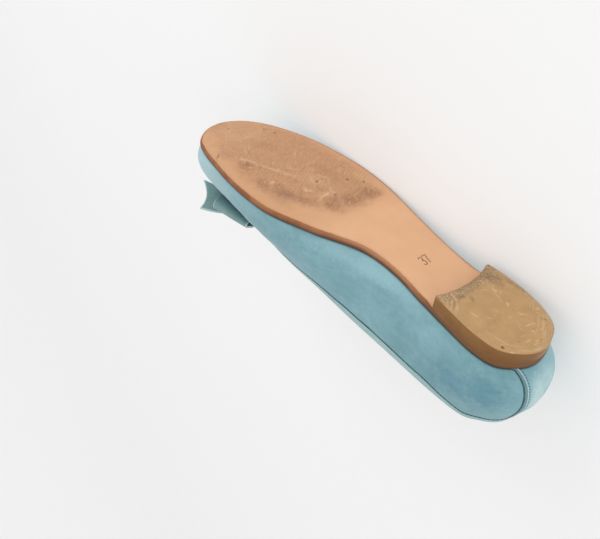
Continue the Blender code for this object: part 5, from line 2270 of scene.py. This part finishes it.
@dataclass
class Studio:
    """The pale floor and background, the soft lights and the camera."""

    shoe: ShoeFrame
    # The floor, in metres
    floor_radius: float = 1.3
    bowl_radius: float = 4.2
    bowl_height: float = 3.2
    floor_rings: int = 12
    bowl_rings: int = 26
    floor_columns: int = 96
    surround: float = 0.8
    lens: float = 42.0
    sensor: float = 36.0
    nearest: float = 0.01
    # The camera's place in the shoe's millimetres, and its own axes there
    camera_place: tuple[float, float, float] = (-82.53, -215.82, -216.01)
    camera_right: tuple[float, float, float] = (-0.6404, 0.7672, -0.035)
    camera_down: tuple[float, float, float] = (-0.5203, -0.3998, 0.7546)
    camera_ahead: tuple[float, float, float] = (0.5649, 0.5015, 0.6553)

    def build_floor(self, finish: Material) -> Piece:
        """Models a round floor whose rim rises smoothly, by turning its profile about the upright axis.

        Args:
            finish: the paper.

        Returns:
            The floor.
        """
        bm = bmesh.new()
        flat, bowl = self.floor_radius, self.bowl_radius
        reach = np.concatenate([np.linspace(0.0, flat, self.floor_rings), np.linspace(flat, bowl, self.bowl_rings)[1:]])
        risen = np.sqrt(np.clip(1 - (np.maximum(reach - flat, 0) / (bowl - flat)) ** 2, 0, 1))
        verts = [bm.verts.new((r, 0.0, z)) for r, z in zip(reach, self.bowl_height * (1 - risen))]
        edges = [bm.edges.new(pair) for pair in zip(verts, verts[1:])]
        bmesh.ops.spin(
            bm,
            geom=verts + edges,
            cent=(0, 0, 0),
            axis=(0, 0, 1),
            angle=2 * math.pi,
            steps=self.floor_columns,
            use_merge=True,
        )
        bmesh.ops.remove_doubles(bm, verts=bm.verts, dist=1e-5)
        bmesh.ops.recalc_face_normals(bm, faces=bm.faces)
        if min(bm.faces, key=lambda face: face.calc_center_median().length).normal.z < 0:
            bmesh.ops.reverse_faces(bm, faces=bm.faces)
        floor = finished("studio_floor", bm, finish)
        return floor

    @staticmethod
    def soft_light(name: str, place: tuple, aim: tuple, size: float, watts: float, colour: Colour) -> None:
        """Adds a large square light.

        Args:
            name: its name.
            place: where it stands, in metres.
            aim: the place that it faces.
            size: its side in metres.
            watts: its power.
            colour: its colour.
        """
        data = bpy.data.lights.new(name, "AREA")
        data.shape, data.size, data.energy, data.color = "SQUARE", size, watts, colour
        light = bpy.data.objects.new(name, data)
        way = Vector(aim) - Vector(place)
        light.matrix_world = Matrix.Translation(place) @ way.to_track_quat("-Z", "Y").to_matrix().to_4x4()
        bpy.context.scene.collection.objects.link(light)

    def build_lights(self) -> None:
        """A pale surround, a large low light in front of the sole, one from the heel's side, and one on the background.
        """
        world = bpy.data.worlds.new("studio_air")
        world.use_nodes = True
        air = world.node_tree.nodes["Background"]
        air.inputs["Color"].default_value = (1.0, 1.0, 1.0, 1.0)
        air.inputs["Strength"].default_value = self.surround
        bpy.context.scene.world = world
        warm, plain = (1.0, 0.985, 0.965), (1.0, 1.0, 1.0)
        self.soft_light("front_softbox", (0.75, -1.15, 0.38), (0.0, 0.0, 0.03), 0.9, 7.0, warm)
        self.soft_light("heel_softbox", (-1.25, -0.35, 0.6), (-0.1, 0.0, 0.03), 0.9, 4.0, plain)
        self.soft_light("background_light", (1.6, 1.9, 2.2), (2.7, 3.1, 0.5), 1.8, 3.0, plain)

    def build_camera(self) -> Piece:
        """Places the camera at its angle to the shoe.

        Returns:
            The camera.
        """
        data = bpy.data.cameras.new("camera")
        data.sensor_width, data.lens, data.clip_start = self.sensor, self.lens, self.nearest
        camera = bpy.data.objects.new("camera", data)
        axes = [Vector(self.camera_right), -Vector(self.camera_down), -Vector(self.camera_ahead)]
        turn = self.shoe.turn @ Matrix(axes).transposed()
        place = self.shoe.matrix @ Vector(self.camera_place)
        camera.matrix_world = Matrix.Translation(place) @ turn.to_quaternion().to_matrix().to_4x4()
        bpy.context.scene.collection.objects.link(camera)
        bpy.context.scene.camera = camera
        return camera


# ---- assembly ----


def main() -> None:
    """Builds the shoe piece by piece, then the studio."""
    shoe, last = ShoeFrame(), Last()
    shop = Workshop(shoe)
    suede, thread = UPPER_SUEDE.build(shop), TEAL_THREAD_AND_SHADE.build(shop)
    Outsole(last).build(shoe, SoleLeather().build(shop))
    Heel(last).build(shoe, HeelStack().build(shop))
    SizeNumber(last).build(shoe, STAMP_INK.build(shop))
    skin = Skin(last)
    upper = Upper(skin)
    upper.build_suede(shoe, suede)
    upper.build_lining(shoe, LINING_LEATHER.build(shop))
    upper.build_topline(shoe, BINDING_SUEDE.build(shop))
    upper.build_seam_line(shoe, thread)
    upper.build_back_strip(shoe, STRIP_SUEDE.build(shop), HIGHLIGHT_BEAD_SUEDE.build(shop), thread)
    upper.build_cement_shade_line(shoe, SOLE_CEMENT_AND_SHADE.build(shop))
    Sock(last).build(shoe, SOCK_LEATHER.build(shop))
    bow, ribbon = Bow(BowPlace(skin)), BOW_SUEDE.build(shop)
    bow.build_knot(shoe, ribbon)
    for size in bow.loops:
        bow.build_loop(shoe, size, ribbon)
    for size in bow.tails:
        bow.build_tail(shoe, size, ribbon)
    studio = Studio(shoe)
    studio.build_floor(StudioPaper().build(shop))
    studio.build_lights()
    studio.build_camera()
    bpy.context.scene.view_settings.view_transform = "Standard"
    bpy.context.view_layer.update()


if __name__ == "__main__":
    main()
